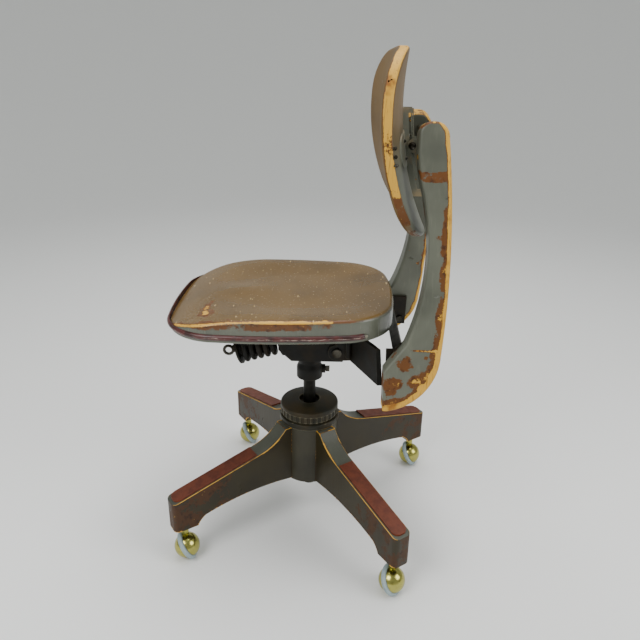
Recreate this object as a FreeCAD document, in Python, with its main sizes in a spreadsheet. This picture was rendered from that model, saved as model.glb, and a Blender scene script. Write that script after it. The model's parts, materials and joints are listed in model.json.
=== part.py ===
import FreeCAD, Part
import math
import os
import re
import Sketcher
from FreeCAD import Placement, Rotation, Vector

# Wooden swivel chair with a pivoting backrest, in millimetres.
# The origin is on the floor under the spindle, +Z is up, the chair faces -Y
# and its left side is at +X.

SIZES = [
    # Wooden base
    ("column_radius", 58),
    ("column_bottom", 100),
    ("column_length", 127),
    ("column_bore", 22),
    ("leg_thickness", 38),
    ("leg_turn", 34.5),
    ("leg_reach", 316),
    ("leg_top_drop", 1),
    ("leg_shoulder", 68),
    ("leg_bend_reach", 128),
    ("leg_bend_height", 187),
    ("leg_bend_radius", 110),
    ("leg_end_height", 140),
    ("leg_arch_radius", 500),
    ("leg_arch_height", 103),
    ("foot_height", 75),
    ("foot_length", 47),
    ("foot_step", 19),
    ("foot_step_run", 18),
    ("leg_end_round", 11),
    ("leg_edge_round", 1.5),
    ("joint_gap", 0.1),
    ("pad_start", 135),
    ("pad_end_gap", 6),
    ("pad_side_gap", 3.5),
    ("pad_thickness", 3.5),
    ("leg_bolt_height", 150),
    ("leg_bolt_radius", 4),
    ("leg_bolt_head_radius", 8),
    ("leg_bolt_head_depth", 5),
    ("leg_bolt_seat", 30),
    ("leg_bolt_reach", 96),
    ("bolt_clearance", 0.1),
    # Swivel and lift
    ("hub_flange_radius", 61.6),
    ("hub_flange_thickness", 4),
    ("hub_rim_thickness", 5.5),
    ("hub_rim_height", 9),
    ("hub_tube_length", 123),
    ("hub_bore", 17),
    ("sleeve_flange_radius", 30),
    ("sleeve_flange_thickness", 2.6),
    ("sleeve_length", 110),
    ("running_fit", 0.05),
    ("face_gap", 0.3),
    ("key_width", 4),
    ("key_depth", 2.4),
    ("key_clearance", 0.25),
    ("wheel_radius", 59.7),
    ("wheel_hub_radius", 53),
    ("wheel_flute_lift", 16),
    ("wheel_edge_height", 19),
    ("wheel_edge_round", 4.5),
    ("wheel_dome_rise", 4.6),
    ("wheel_dome_radius", 160),
    ("wheel_well_radius", 21),
    ("wheel_well_depth", 9),
    ("flute_count", 32),
    ("flute_radius", 5),
    ("flute_depth", 2.6),
    ("flute_height", 17),
    ("spindle_radius", 12.7),
    ("spindle_bottom", 66),
    ("spindle_top_gap", 8),
    ("stop_radius", 16.4),
    ("stop_height", 9),
    # Ball casters
    ("stem_inset", 25),
    ("stem_radius", 4),
    ("stem_top", 108),
    ("stem_bottom", 60),
    ("socket_wall", 1.6),
    ("socket_flange_radius", 10),
    ("socket_flange_thickness", 1.2),
    ("socket_depth", 32),
    ("ball_tilt", 30),
    ("ball_side", -2),
    ("ball_trail", 5),
    ("hood_radius", 25.3),
    ("hood_wall", 2),
    ("hood_cut", 5.5),
    ("hood_boss_radius", 7.5),
    ("axle_radius", 4),
    ("axle_reach", 16),
    ("neck_radius", 7.5),
    ("neck_collar_radius", 10),
    ("neck_collar_height", 4),
    ("neck_foot", 8),
    ("bowl_radius", 24.6),
    ("bowl_rim", 5.1),
    ("tyre_seat", 20.6),
    ("tyre_ring", 25.4),
    ("tyre_half_width", 4.6),
    ("caster_turn_front_left", 281),
    ("caster_turn_rear_left", 241),
    ("caster_turn_rear_right", 256),
    ("caster_turn_front_right", 276),
    # Seat
    ("seat_bottom", 474),
    ("seat_thickness", 42),
    ("seat_half_front", 163),
    ("seat_half_rear", 152),
    ("seat_front_corner", 242),
    ("seat_rear_corner", 140),
    ("seat_side_radius", 1050),
    ("seat_front_radius", 900),
    ("seat_rear_radius", 640),
    ("seat_front_round", 95),
    ("seat_rear_round", 100),
    ("seat_fall_start", 90),
    ("seat_front_edge", 8.3),
    ("strip_height", 10.5),
    ("strip_width", 4.5),
    ("strip_end", 98),
    ("strip_nail_radius", 3.6),
    ("nail_length", 14),
    ("nail_shank_radius", 1.2),
    # Seat iron
    ("iron_wall_gap", 60),
    ("iron_wall_thickness", 8),
    ("iron_front", 60),
    ("iron_rear", 66),
    ("iron_depth", 99.5),
    ("iron_web_thickness", 8),
    ("iron_nose_depth", 76),
    ("iron_nose_run", 25),
    ("iron_strap_thickness", 6),
    ("iron_strap_width", 28),
    ("iron_strap_reach", 112),
    ("hub_collar_radius", 26),
    ("hub_collar_height", 22),
    ("hub_neck_radius", 22),
    ("hub_depth", 150),
    ("hub_top_depth", 68),
    ("set_screw_lift", 16),
    ("set_boss_radius", 9),
    ("set_boss_reach", 32),
    ("set_screw_radius", 4.5),
    ("seat_screw_radius", 2.5),
    ("seat_screw_head", 5),
    ("seat_screw_length", 18),
    ("seat_screw_inner", 58),
    ("seat_screw_outer", 98),
    # Back tilt and tension
    ("pivot_rear", 54),
    ("pivot_drop", 77),
    ("pivot_pin_radius", 6),
    ("pivot_head_radius", 9),
    ("pivot_head_thickness", 4),
    ("lever_arm", 40),
    ("pull_slope", 15.6),
    ("lug_reach", 108),
    ("lug_thickness", 8),
    ("lug_radius", 36),
    ("rod_radius", 5),
    ("rod_clearance", 1),
    ("clevis_gap", 14.4),
    ("clevis_arm", 5),
    ("clevis_height", 16),
    ("clevis_block", 14),
    ("clevis_reach", 10),
    ("clevis_pin_radius", 4),
    ("lever_thickness", 13),
    ("lever_hole_radius", 4.7),
    ("lever_hole_run", 1.6),
    ("spring_length", 82),
    ("spring_radius", 26.5),
    ("spring_wire", 5.5),
    ("spring_turns", 5),
    ("cap_radius", 33),
    ("cap_thickness", 4),
    ("cap_boss_radius", 10),
    ("cap_boss_length", 4),
    ("eye_gap", 3.3),
    ("eye_ring_radius", 9),
    ("eye_wire", 3),
    # Back frame
    ("upright_foot_spread", 170),
    ("upright_drop", 124),
    ("upright_lean", 8.73),
    ("upright_thickness", 38),
    ("upright_front", 134),
    ("upright_block_top", 77),
    ("upright_waist_start_rear", 169),
    ("upright_waist_start", 124),
    ("upright_waist_radius", 405),
    ("upright_waist_end_rear", 179.5),
    ("upright_neck_height", 40),
    ("upright_head_front", 174.2),
    ("upright_head_height", 49),
    ("upright_head_front_round", 20),
    ("upright_head_rear_round", 24),
    ("upright_bend_round", 60),
    ("upright_length", 489),
    ("upright_head_rear", 219),
    ("upright_back_radius", 1680),
    ("upright_heel_rear", 230.5),
    ("upright_heel_height", 99),
    ("upright_heel_radius", 106),
    ("upright_tip_rear", 143),
    ("upright_edge_round", 5),
    ("yoke_drop", 82.33),
    ("yoke_height", 61),
    ("yoke_front", 217.4),
    ("yoke_radius", 152),
    ("yoke_thickness", 22),
    ("yoke_edge_round", 7),
    ("carrier_thickness", 6),
    ("carrier_ear_gap", 0.6),
    ("carrier_ear_radius", 17),
    ("carrier_foot", 33),
    ("carrier_height", 67),
    ("carrier_web_rear", 74),
    ("carrier_bend_rear", 80),
    ("carrier_pad_front", 140),
    ("carrier_pad_rear", 204),
    ("carrier_pad_thickness", 7),
    ("carrier_rib_thickness", 5),
    ("frame_bolt_front", 16),
    ("frame_bolt_middle", 36),
    ("frame_bolt_back", 58),
    ("frame_bolt_low", 52),
    ("frame_bolt_high", 92),
    ("frame_bolt_radius", 3.5),
    ("frame_bolt_head_radius", 6.5),
    ("frame_bolt_head_height", 4.5),
    ("frame_bolt_depth", 26),
    ("cross_strap_width", 20),
    ("cross_strap_thickness", 4),
    ("cross_strap_start", 33),
    # Backrest and its pivot
    ("backrest_lift", 5),
    ("backrest_width", 300),
    ("backrest_length", 308),
    ("backrest_rear", 161),
    ("backrest_thickness", 18.5),
    ("backrest_slope", 8.5),
    ("backrest_rise_radius", 500),
    ("backrest_wrap_radius", 620),
    ("backrest_side_bulge", 18),
    ("backrest_top_bulge", 17),
    ("backrest_corner_round", 80),
    ("backrest_edge_round", 5),
    ("backrest_screw_radius", 1.55),
    ("backrest_screw_depth", 7.5),
    ("bolt_rear", 176),
    ("bolt_lift", 34),
    ("bolt_radius", 3.2),
    ("bolt_head_radius", 6.6),
    ("bolt_head_height", 4.2),
    ("bracket_thickness", 3),
    ("bracket_inside", 28.4),
    ("bracket_ear_front", 7.4),
    ("bracket_ear_half", 11.5),
    ("bracket_chamfer", 6),
    ("bracket_web_half", 20),
    ("bracket_bolt_shift", 12),
    ("bracket_bolt_radius", 2.5),
    ("bracket_bolt_head_radius", 4.8),
    ("bracket_bolt_head_height", 3),
    ("bracket_nut_height", 2.4),
    ("rail_outside", 26.8),
    ("rail_sheet", 2.4),
    ("rail_depth", 19),
    ("rail_up", 62),
    ("rail_down", 88),
    ("rail_slot_end", 8),
    ("rail_wing_half_angle", 16.5),
    ("rail_wing_half_height", 27),
    ("rail_wing_half_width", 112),
    ("rail_wing_sheet", 1.8),
    ("spacer_radius", 5.2),
    ("nut_radius", 6),
    ("nut_height", 7),
    ("wing_span", 15),
]

# Places and sizes that follow from the sizes above, as formulas of the sheet.

FOLLOWING = [
    ("column_top", "column_bottom + column_length"),
    ("stem_reach", "leg_reach - stem_inset"),
    ("wheel_flute_bottom", "column_top + wheel_flute_lift"),
    # Seat, its iron and the pivot of the back hang from the seat's underside
    ("hub_collar_bottom", "seat_bottom - hub_depth"),
    ("hub_top", "seat_bottom - hub_top_depth"),
    ("set_screw_height", "hub_collar_bottom + set_screw_lift"),
    ("spindle_top", "hub_top - spindle_top_gap"),
    ("iron_bottom", "seat_bottom - iron_depth"),
    ("iron_nose_height", "seat_bottom - iron_nose_depth"),
    ("pivot_height", "seat_bottom - pivot_drop"),
    # The seat's top falls along one arc to the height of its front edge
    ("seat_front_bow", "seat_front_radius - sqrt(seat_front_radius ^ 2 - seat_half_front ^ 2)"),
    ("seat_front", "seat_front_corner + seat_front_bow"),
    ("seat_fall_run", "seat_front - seat_fall_start"),
    ("seat_fall_drop", "seat_thickness - seat_front_edge"),
    ("seat_fall_radius", "(seat_fall_run ^ 2 + seat_fall_drop ^ 2) / 2 / seat_fall_drop"),
    ("seat_top_round", "0.845 * seat_front_edge"),
    ("seat_bottom_round", "0.36 * seat_front_edge"),
    # The back frame stands on the carrier, and the backrest's bolt follows the uprights' tops
    ("upright_base", "seat_bottom - upright_drop"),
    ("upright_head_start", "upright_length - upright_head_height"),
    ("upright_waist_end", "upright_head_start - upright_neck_height"),
    ("carrier_bottom", "upright_base + carrier_foot"),
    ("carrier_top", "carrier_bottom + carrier_height"),
    ("yoke_bottom", "upright_base + upright_length * cos(upright_lean * 1deg) - yoke_drop"),
    ("bolt_height", "yoke_bottom + bolt_lift"),
    ("backrest_height", "bolt_height + backrest_lift"),
    ("bracket_half", "bracket_inside / 2 + bracket_thickness"),
    ("bracket_rear", "yoke_front - yoke_radius + sqrt(yoke_radius ^ 2 - bracket_half ^ 2) - joint_gap"),
]

doc = FreeCAD.newDocument("swivel_chair")
sheet = doc.addObject("Spreadsheet::Sheet", "Sizes")
for row, (alias, amount) in enumerate(SIZES + FOLLOWING, start=1):
    sheet.set("A%d" % row, alias)
    sheet.set("B%d" % row, "=" + str(amount))
    sheet.setAlias("B%d" % row, alias)
doc.recompute()

NAMES = {alias for alias, amount in SIZES + FOLLOWING}
PIECES = []
SIDES = (("left", 1), ("right", -1))
LEGS = ("front_left", "rear_left", "rear_right", "front_right")
PLANES = {
    "XY": Placement(Vector(), Rotation()),
    "XZ": Placement(Vector(), Rotation(Vector(1, 0, 0), 90)),
    "YZ": Placement(Vector(), Rotation(Vector(1, 1, 1), 120)),
}


def tied(text):
    """Writes a formula of size names as an expression on the sheet."""
    return re.sub(r"[a-z]\w*", lambda word: "Sizes." + word[0] if word[0] in NAMES else word[0], str(text))


def number(text):
    """The present value of a formula of size names."""
    found = sheet.evalExpression(tied(text))
    return float(getattr(found, "Value", found))


def add(kind, name):
    return doc.addObject(kind, name)


def piece(item, name):
    """Marks an object as one piece of the chair and gives it its name."""
    item.Label = name
    PIECES.append(item)
    return item


def place(item, base=("0", "0", "0"), axis=(0, 0, 1), angle="0"):
    """Puts an object at a point, turned about one axis, by formulas."""
    item.Placement = Placement(Vector(), Rotation(Vector(*axis), 1))
    for letter, text in zip("xyz", base):
        item.setExpression(".Placement.Base." + letter, tied(text))
    item.setExpression(".Placement.Rotation.Angle", tied("(%s) * 1deg" % angle))
    return item


def solid(kind, name, **formulas):
    """A primitive whose sizes are formulas."""
    item = add(kind, name)
    for prop, text in formulas.items():
        item.setExpression(prop, tied(text))
    return item


def rod(name, radius, length, base=("0", "0", "0"), axis=(0, 0, 1), angle="0"):
    return place(solid("Part::Cylinder", name, Radius=radius, Height=length), base, axis, angle)


def crosswise(name, radius, length, start, rear, height):
    """A rod along +X from a start, at a rear distance and a height."""
    return rod(name, radius, length, (start, rear, height), (0, 1, 0), "90")


def rearward(name, radius, length, start, height):
    """A rod along +Y in the chair's middle plane."""
    return rod(name, radius, length, ("0", start, height), (1, 0, 0), "-90")


def minus(reach):
    """The negative of a formula."""
    return "0 - (%s)" % reach


def block(name, length, width, height, base):
    return place(solid("Part::Box", name, Length=length, Width=width, Height=height), base)


def fuse(name, items):
    item = add("Part::MultiFuse", name)
    item.Shapes = items
    return item


def cut(name, base, tools):
    item = add("Part::Cut", name)
    item.Base = base
    item.Tool = tools[0] if len(tools) == 1 else fuse(name + "_tools", tools)
    return item


def common(name, items):
    item = add("Part::MultiCommon", name)
    item.Shapes = items
    return item


def group(name, items):
    """Like pieces that share one node, each a solid of its own."""
    item = add("Part::Compound", name)
    item.Links = items
    return piece(item, name)


def arc_between(start, end, radius, side):
    """A minor arc; side 1 has its centre on the left of the way from start to end."""
    chord = end - start
    across = Vector(-chord.y, chord.x, 0).normalize()
    depth = math.sqrt(max(radius ** 2 - chord.Length ** 2 / 4, 0))
    centre = (start + end) / 2 + across * depth * side
    first, last = (start, end) if side > 0 else (end, start)
    angle_one = math.atan2(first.y - centre.y, first.x - centre.x)
    angle_two = math.atan2(last.y - centre.y, last.x - centre.x)
    if angle_two <= angle_one:
        angle_two += 2 * math.pi
    return Part.ArcOfCircle(Part.Circle(centre, Vector(0, 0, 1), radius), angle_one, angle_two)


def hold(sketch, geometry, point, x_text, y_text):
    """Ties one point of a sketch to its two formulas."""
    for kind, text, axis in (("DistanceX", x_text, -2), ("DistanceY", y_text, -1)):
        if text == "0":
            sketch.addConstraint(Sketcher.Constraint("PointOnObject", geometry, point, axis))
            continue
        index = sketch.addConstraint(Sketcher.Constraint(kind, -1, 1, geometry, point, number(text)))
        sketch.setExpression("Constraints[%d]" % index, tied(text))


def draw_circle(sketch, loop):
    word, x_text, y_text, radius = loop
    circle = Part.Circle(Vector(number(x_text), number(y_text), 0), Vector(0, 0, 1), number(radius))
    index = sketch.addGeometry(circle, False)
    hold(sketch, index, 3, x_text, y_text)
    rule = sketch.addConstraint(Sketcher.Constraint("Radius", index, number(radius)))
    sketch.setExpression("Constraints[%d]" % rule, tied(radius))


def draw_loop(sketch, loop):
    """A closed outline; a corner may give the radius and side of the arc that leaves it."""
    points = [Vector(number(corner[0]), number(corner[1]), 0) for corner in loop]
    starts, ends = [], []
    for index, corner in enumerate(loop):
        start, end = points[index], points[(index + 1) % len(loop)]
        if len(corner) == 2:
            line = sketch.addGeometry(Part.LineSegment(start, end), False)
            starts.append((line, 1))
            ends.append((line, 2))
            continue
        radius, side = corner[2:]
        arc = sketch.addGeometry(arc_between(start, end, number(radius), side), False)
        starts.append((arc, 1 if side > 0 else 2))
        ends.append((arc, 2 if side > 0 else 1))
        rule = sketch.addConstraint(Sketcher.Constraint("Radius", arc, number(radius)))
        sketch.setExpression("Constraints[%d]" % rule, tied(radius))
    for index, corner in enumerate(loop):
        sketch.addConstraint(Sketcher.Constraint("Coincident", *ends[index - 1], *starts[index]))
        hold(sketch, *starts[index], corner[0], corner[1])


def draw(sketch, loops):
    for loop in loops:
        if loop[0] == "circle":
            draw_circle(sketch, loop)
        else:
            draw_loop(sketch, loop)
    return sketch


def extrude(name, plane, loops, length, middle=True, start="0"):
    """A prism on a sketch; the sketch lies in a main plane, moved along its normal."""
    sketch = add("Sketcher::SketchObject", name + "_sketch")
    sketch.Placement = PLANES[plane]
    draw(sketch, loops)
    item = add("Part::Extrusion", name)
    item.Base = sketch
    item.DirMode = "Normal"
    item.Solid = True
    item.Symmetric = middle
    item.setExpression("LengthFwd", tied(length))
    if start != "0":
        letter = {"XY": "z", "XZ": "y", "YZ": "x"}[plane]
        item.setExpression(".Placement.Base." + letter, tied(start))
    return item


def body(name):
    item = add("PartDesign::Body", name)
    item.AllowCompound = True
    return piece(item, name)


def body_sketch(item, name, plane, loops, offset="0"):
    sketch = item.newObject("Sketcher::SketchObject", name)
    origin = next(part for part in item.Origin.OriginFeatures if part.Role == plane + "_Plane")
    sketch.AttachmentSupport = [(origin, "")]
    sketch.MapMode = "FlatFace"
    if offset != "0":
        sketch.setExpression(".AttachmentOffset.Base.z", tied(offset))
    return draw(sketch, loops)


def pad(item, name, plane, loops, length, middle=True, offset="0"):
    feature = item.newObject("PartDesign::Pad", name)
    feature.Profile = body_sketch(item, name + "_sketch", plane, loops, offset)
    feature.SideType = "Symmetric" if middle else "One side"
    feature.setExpression("Length", tied(length))
    doc.recompute()
    return feature


def pocket(item, name, plane, loops, length=None, upward=False, offset="0"):
    """Cuts with a sketch, right through or to a depth, and makes sure that it cuts."""
    before = item.Shape.Volume
    feature = item.newObject("PartDesign::Pocket", name)
    feature.Profile = body_sketch(item, name + "_sketch", plane, loops, offset)
    if length is None:
        feature.SideType = "Symmetric"
        feature.setExpression("Length", "4000")
    else:
        feature.SideType = "One side"
        feature.setExpression("Length", tied(length))
        feature.Reversed = upward
    doc.recompute()
    if not item.Shape.Volume < before:
        raise RuntimeError("nothing was cut by " + name)
    return feature


def revolve(item, name, plane, loops, angle="360", axis="V_Axis"):
    feature = item.newObject("PartDesign::Revolution", name)
    sketch = body_sketch(item, name + "_sketch", plane, loops)
    feature.Profile = sketch
    feature.ReferenceAxis = (sketch, [axis])
    feature.Midplane = True
    feature.setExpression("Angle", tied(angle))
    doc.recompute()
    return feature


def polar(item, name, feature, count):
    pattern = item.newObject("PartDesign::PolarPattern", name)
    pattern.Originals = [feature]
    pattern.Axis = (feature.Profile[0], ["N_Axis"])
    pattern.Angle = 360
    pattern.setExpression("Occurrences", tied(count))
    item.Tip = pattern
    doc.recompute()
    return pattern


def edges_where(shape, test):
    return ["Edge%d" % (index + 1) for index, edge in enumerate(shape.Edges) if test(edge)]


def round_edges(item, name, radius, test):
    """Fillets the edges of a body that pass the test."""
    feature = item.newObject("PartDesign::Fillet", name)
    last = feature.BaseFeature or item.Tip
    feature.Base = (last, edges_where(last.Shape, test))
    feature.setExpression("Radius", tied(radius))
    doc.recompute()
    return feature


def span(edge, letter):
    """How far an edge reaches along one axis."""
    return getattr(edge.BoundBox, letter.upper() + "Length")


# Wooden base

def make_column():
    column = body("column")
    top, low = "column_top", "column_bottom"
    ring = [("column_bore", low), ("column_radius", low), ("column_radius", top), ("column_bore", top)]
    revolve(column, "column_turning", "XZ", [ring])
    hole = [("circle", "0", "leg_bolt_height", "leg_bolt_radius + bolt_clearance")]
    for plane in ("XZ", "YZ"):
        pocket(column, "column_hole_" + plane, plane, hole)
    seat = [("circle", "0", "leg_bolt_height", "leg_bolt_head_radius + bolt_clearance")]
    for plane in ("XZ", "YZ"):
        feature = pocket(column, "column_seat_" + plane, plane, seat)
        feature.setExpression("Length", tied("2 * leg_bolt_seat"))
    doc.recompute()
    place(column, angle="leg_turn")


def leg_outline():
    heel = "column_radius - 12"
    top = "column_top - leg_top_drop"
    step = "leg_reach - foot_length"
    return [
        (heel, top),
        (heel, "leg_arch_height"),
        ("column_radius + 2", "leg_arch_height", "leg_arch_radius", -1),
        (step + " - foot_step_run", "foot_height + foot_step", "foot_step_run * 2.2", -1),
        (step, "foot_height"),
        ("leg_reach", "foot_height"),
        ("leg_reach", "leg_end_height"),
        ("leg_bend_reach", "leg_bend_height", "leg_bend_radius", -1),
        ("leg_shoulder", top),
    ]


def make_leg(name, turn):
    leg = body("leg_" + name)
    pad(leg, "leg_blank_" + name, "XZ", [leg_outline()], "leg_thickness")
    cope = [("circle", "0", "0", "column_radius + joint_gap")]
    pocket(leg, "leg_cope_" + name, "XY", cope)
    drill = [("circle", "0", "leg_bolt_height", "leg_bolt_radius + bolt_clearance")]
    pocket(leg, "leg_drill_" + name, "YZ", drill, "leg_bolt_reach + 1", upward=True)
    socket = [("circle", "stem_reach", "0", "stem_radius + running_fit + socket_wall + joint_gap")]
    pocket(leg, "leg_socket_" + name, "XY", socket, "socket_depth + 1", upward=True, offset="foot_height")
    reach = number("leg_reach")
    end = lambda edge: span(edge, "z") > 20 and abs(edge.BoundBox.XMin - reach) < 0.01
    round_edges(leg, "leg_end_" + name, "leg_end_round", end)
    half = number("leg_thickness / 2")
    bend, high = number("leg_shoulder"), number("leg_end_height")

    def top_edge(edge):
        box = edge.BoundBox
        flat = box.YLength < 0.01 and abs(abs(box.YMin) - half) < 0.01
        return flat and box.XMax > bend + 1 and box.ZMin > high - 1 and box.XLength > 20

    round_edges(leg, "leg_edges_" + name, "leg_edge_round", top_edge)
    place(leg, angle=turn)


def slope_text(reach):
    """Height of a leg's straight top at a reach from the axis."""
    fall = "(leg_bend_height - leg_end_height) / (leg_reach - leg_bend_reach)"
    return "leg_bend_height - (%s - leg_bend_reach) * %s" % (reach, fall)


def make_pad(name, turn):
    item = body("leg_pad_" + name)
    first, last = "pad_start", "leg_reach - pad_end_gap"
    lift = "0.15"
    rise = lift + " + pad_thickness"
    side = [
        (first, slope_text(first) + " + " + lift),
        (last, slope_text("(%s)" % last) + " + " + lift),
        (last, slope_text("(%s)" % last) + " + " + rise),
        (first, slope_text(first) + " + " + rise),
    ]
    pad(item, "pad_blank_" + name, "XZ", [side], "leg_thickness - 2 * pad_side_gap")
    reach = number(last)

    def end(edge):
        return span(edge, "y") < 0.1 and edge.BoundBox.XMin > reach - 1.5 and span(edge, "z") > 2

    round_edges(item, "pad_end_" + name, "leg_thickness / 2 - pad_side_gap - 3", end)
    place(item, angle=turn)


def make_leg_bolts():
    bolts = body("leg_bolts")
    head = "leg_bolt_seat - leg_bolt_head_depth"
    profile = [
        (head, "0"),
        (head, "leg_bolt_head_radius"),
        ("leg_bolt_seat", "leg_bolt_head_radius"),
        ("leg_bolt_seat", "leg_bolt_radius"),
        ("leg_bolt_reach", "leg_bolt_radius"),
        ("leg_bolt_reach", "0"),
    ]
    bolt = revolve(bolts, "leg_bolt", "XY", [profile], axis="H_Axis")
    polar(bolts, "leg_bolt_ring", bolt, "4")
    place(bolts, base=("0", "0", "leg_bolt_height"), angle="leg_turn")


def make_base():
    make_column()
    for index, name in enumerate(LEGS):
        turn = "leg_turn + %d" % (90 * index - 90)
        make_leg(name, turn)
        make_pad(name, turn)
    make_leg_bolts()


# Ball casters

SOCKET_BOTTOM = "(foot_height - socket_flange_thickness)"
BALL_HEIGHT = "(tyre_ring * cos(ball_tilt * 1deg) + tyre_half_width)"


def make_sockets():
    sockets = body("caster_sockets")
    inner, low = "stem_radius + running_fit", SOCKET_BOTTOM
    outer, top = inner + " + socket_wall", "foot_height + socket_depth"
    profile = [
        (inner, low),
        ("socket_flange_radius", low),
        ("socket_flange_radius", "foot_height"),
        (outer, "foot_height"),
        (outer, top),
        (inner, top),
    ]
    shifted = [("stem_reach + " + x_text, y_text) for x_text, y_text in profile]
    feature = sockets.newObject("PartDesign::Revolution", "socket")
    sketch = body_sketch(sockets, "socket_sketch", "XZ", [shifted])
    line = Part.LineSegment(Vector(number("stem_reach"), 0, 0), Vector(number("stem_reach"), 50, 0))
    axis = sketch.addGeometry(line, True)
    hold(sketch, axis, 1, "stem_reach", "0")
    hold(sketch, axis, 2, "stem_reach", "foot_height")
    feature.Profile = sketch
    feature.ReferenceAxis = (sketch, ["Axis0"])
    feature.Angle = 360
    doc.recompute()
    flat = body_sketch(sockets, "socket_turns", "XY", [])
    pattern = sockets.newObject("PartDesign::PolarPattern", "socket_ring")
    pattern.Originals = [feature]
    pattern.Axis = (flat, ["N_Axis"])
    pattern.Occurrences = 4
    pattern.Angle = 360
    sockets.Tip = pattern
    doc.recompute()
    place(sockets, angle="leg_turn")


def ball_place(item, tilt=True):
    """Turns a piece from its own axis to the axle, at the middle of the ball."""
    angle = "90 + ball_tilt" if tilt else "0"
    return place(item, ("ball_side", "ball_trail", BALL_HEIGHT), (0, 1, 0), angle)


def at_stem(item, turn, swivel):
    """Moves a finished caster piece to its stem and swivels it."""
    way = "(%s) * 1deg" % turn
    base = ("stem_reach * cos(%s)" % way, "stem_reach * sin(%s)" % way, "0")
    return place(item, base, angle=swivel)


def make_hood(name, turn, swivel):
    wall = "(hood_radius - hood_wall)"
    reach = lambda radius, level: "sqrt(%s * %s - %s * %s)" % (radius, radius, level, level)
    boss = "0 - %s" % reach(wall, "hood_boss_radius")
    profile = [
        ("0", "axle_reach"),
        ("0", "0 - hood_radius", "hood_radius", 1),
        (reach("hood_radius", "hood_cut"), "0 - hood_cut"),
        (reach(wall, "hood_cut"), "0 - hood_cut", wall, -1),
        ("hood_boss_radius", boss),
        ("hood_boss_radius", "0 - hood_cut"),
        ("axle_radius", "0 - hood_cut"),
        ("axle_radius", "axle_reach"),
    ]
    sketch = add("Sketcher::SketchObject", "hood_sketch_" + name)
    sketch.Placement = PLANES["XZ"]
    draw(sketch, [profile])
    shell = add("Part::Revolution", "hood_shell_" + name)
    shell.Source = sketch
    shell.Axis = Vector(0, 0, 1)
    shell.Angle = 360
    shell.Solid = True
    ball_place(shell)
    top = SOCKET_BOTTOM + " - face_gap"
    low = BALL_HEIGHT + " + neck_foot"
    neck = rod("neck_" + name, "neck_radius", "%s - (%s)" % (top, low), ("0", "0", low))
    collar_low = top + " - neck_collar_height"
    collar = rod("collar_" + name, "neck_collar_radius", "neck_collar_height", ("0", "0", collar_low))
    inside = ball_place(solid("Part::Sphere", "hood_inside_" + name, Radius=wall))
    room = rod("hood_room_" + name, "hood_radius + 8", "60")
    ball_place(room)
    way = "(90 + ball_tilt) * 1deg"
    room.setExpression(".Placement.Base.x", tied("ball_side - hood_cut * sin(%s)" % way))
    room.setExpression(".Placement.Base.z", tied(BALL_HEIGHT + " - hood_cut * cos(%s)" % way))
    post = cut("neck_post_" + name, fuse("neck_whole_" + name, [neck, collar]), [inside, room])
    whole = fuse("hood_whole_" + name, [shell, post])
    bore = rod("stem_bore_" + name, "stem_radius + running_fit", "40", ("0", "0", "stem_bottom"))
    hood = piece(cut("hood_" + name, whole, [bore]), "caster_hood_" + name)
    at_stem(hood, turn, swivel)


def make_stem(name, turn, swivel):
    stem = body("caster_stem_" + name)
    low, top = "stem_bottom + joint_gap", "stem_top"
    profile = [
        ("0", low),
        ("stem_radius", low),
        ("stem_radius", top + " - 2"),
        ("stem_radius - 1.5", top),
        ("0", top),
    ]
    revolve(stem, "stem_turning_" + name, "XZ", [profile])
    at_stem(stem, turn, swivel)


def make_wheel(name, turn, swivel):
    edge = "sqrt(bowl_radius * bowl_radius - bowl_rim * bowl_rim)"
    inner = "0 - tyre_half_width + 0.1"
    bore = "axle_radius + running_fit"
    profile = [
        (bore, inner),
        ("tyre_seat", inner),
        ("tyre_seat", "bowl_rim"),
        (edge, "bowl_rim", "bowl_radius", 1),
        ("0", "bowl_radius"),
        ("0", "axle_reach + face_gap"),
        (bore, "axle_reach + face_gap"),
    ]
    ball_revolve("caster_wheel_", name, profile, turn, swivel)


def make_tyre(name, turn, swivel):
    seat = "tyre_seat + 0.05"
    profile = [
        (seat, "0 - tyre_half_width"),
        ("tyre_ring", "0 - tyre_half_width", "tyre_half_width", 1),
        ("tyre_ring + tyre_half_width", "0", "tyre_half_width", 1),
        ("tyre_ring", "tyre_half_width"),
        (seat, "tyre_half_width"),
    ]
    ball_revolve("caster_tyre_", name, profile, turn, swivel)


def ball_revolve(stem, name, profile, turn, swivel):
    """A turned piece on the tilted axle of a caster."""
    sketch = add("Sketcher::SketchObject", stem + "sketch_" + name)
    sketch.Placement = PLANES["XZ"]
    draw(sketch, [profile])
    turned = add("Part::Revolution", stem + "turning_" + name)
    turned.Source = sketch
    turned.Axis = Vector(0, 0, 1)
    turned.Angle = 360
    turned.Solid = True
    ball_place(turned)
    item = piece(add("Part::Compound", stem + name), stem + name)
    item.Links = [turned]
    at_stem(item, turn, swivel)


def make_casters():
    make_sockets()
    for index, name in enumerate(LEGS):
        turn = "leg_turn + %d" % (90 * index - 90)
        swivel = "caster_turn_" + name
        for maker in (make_stem, make_hood, make_wheel, make_tyre):
            maker(name, turn, swivel)


# Swivel and lift

FLANGE_TOP = "(column_top + hub_flange_thickness)"
SLEEVE_TOP = "(%s + face_gap + sleeve_flange_thickness)" % FLANGE_TOP


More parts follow.
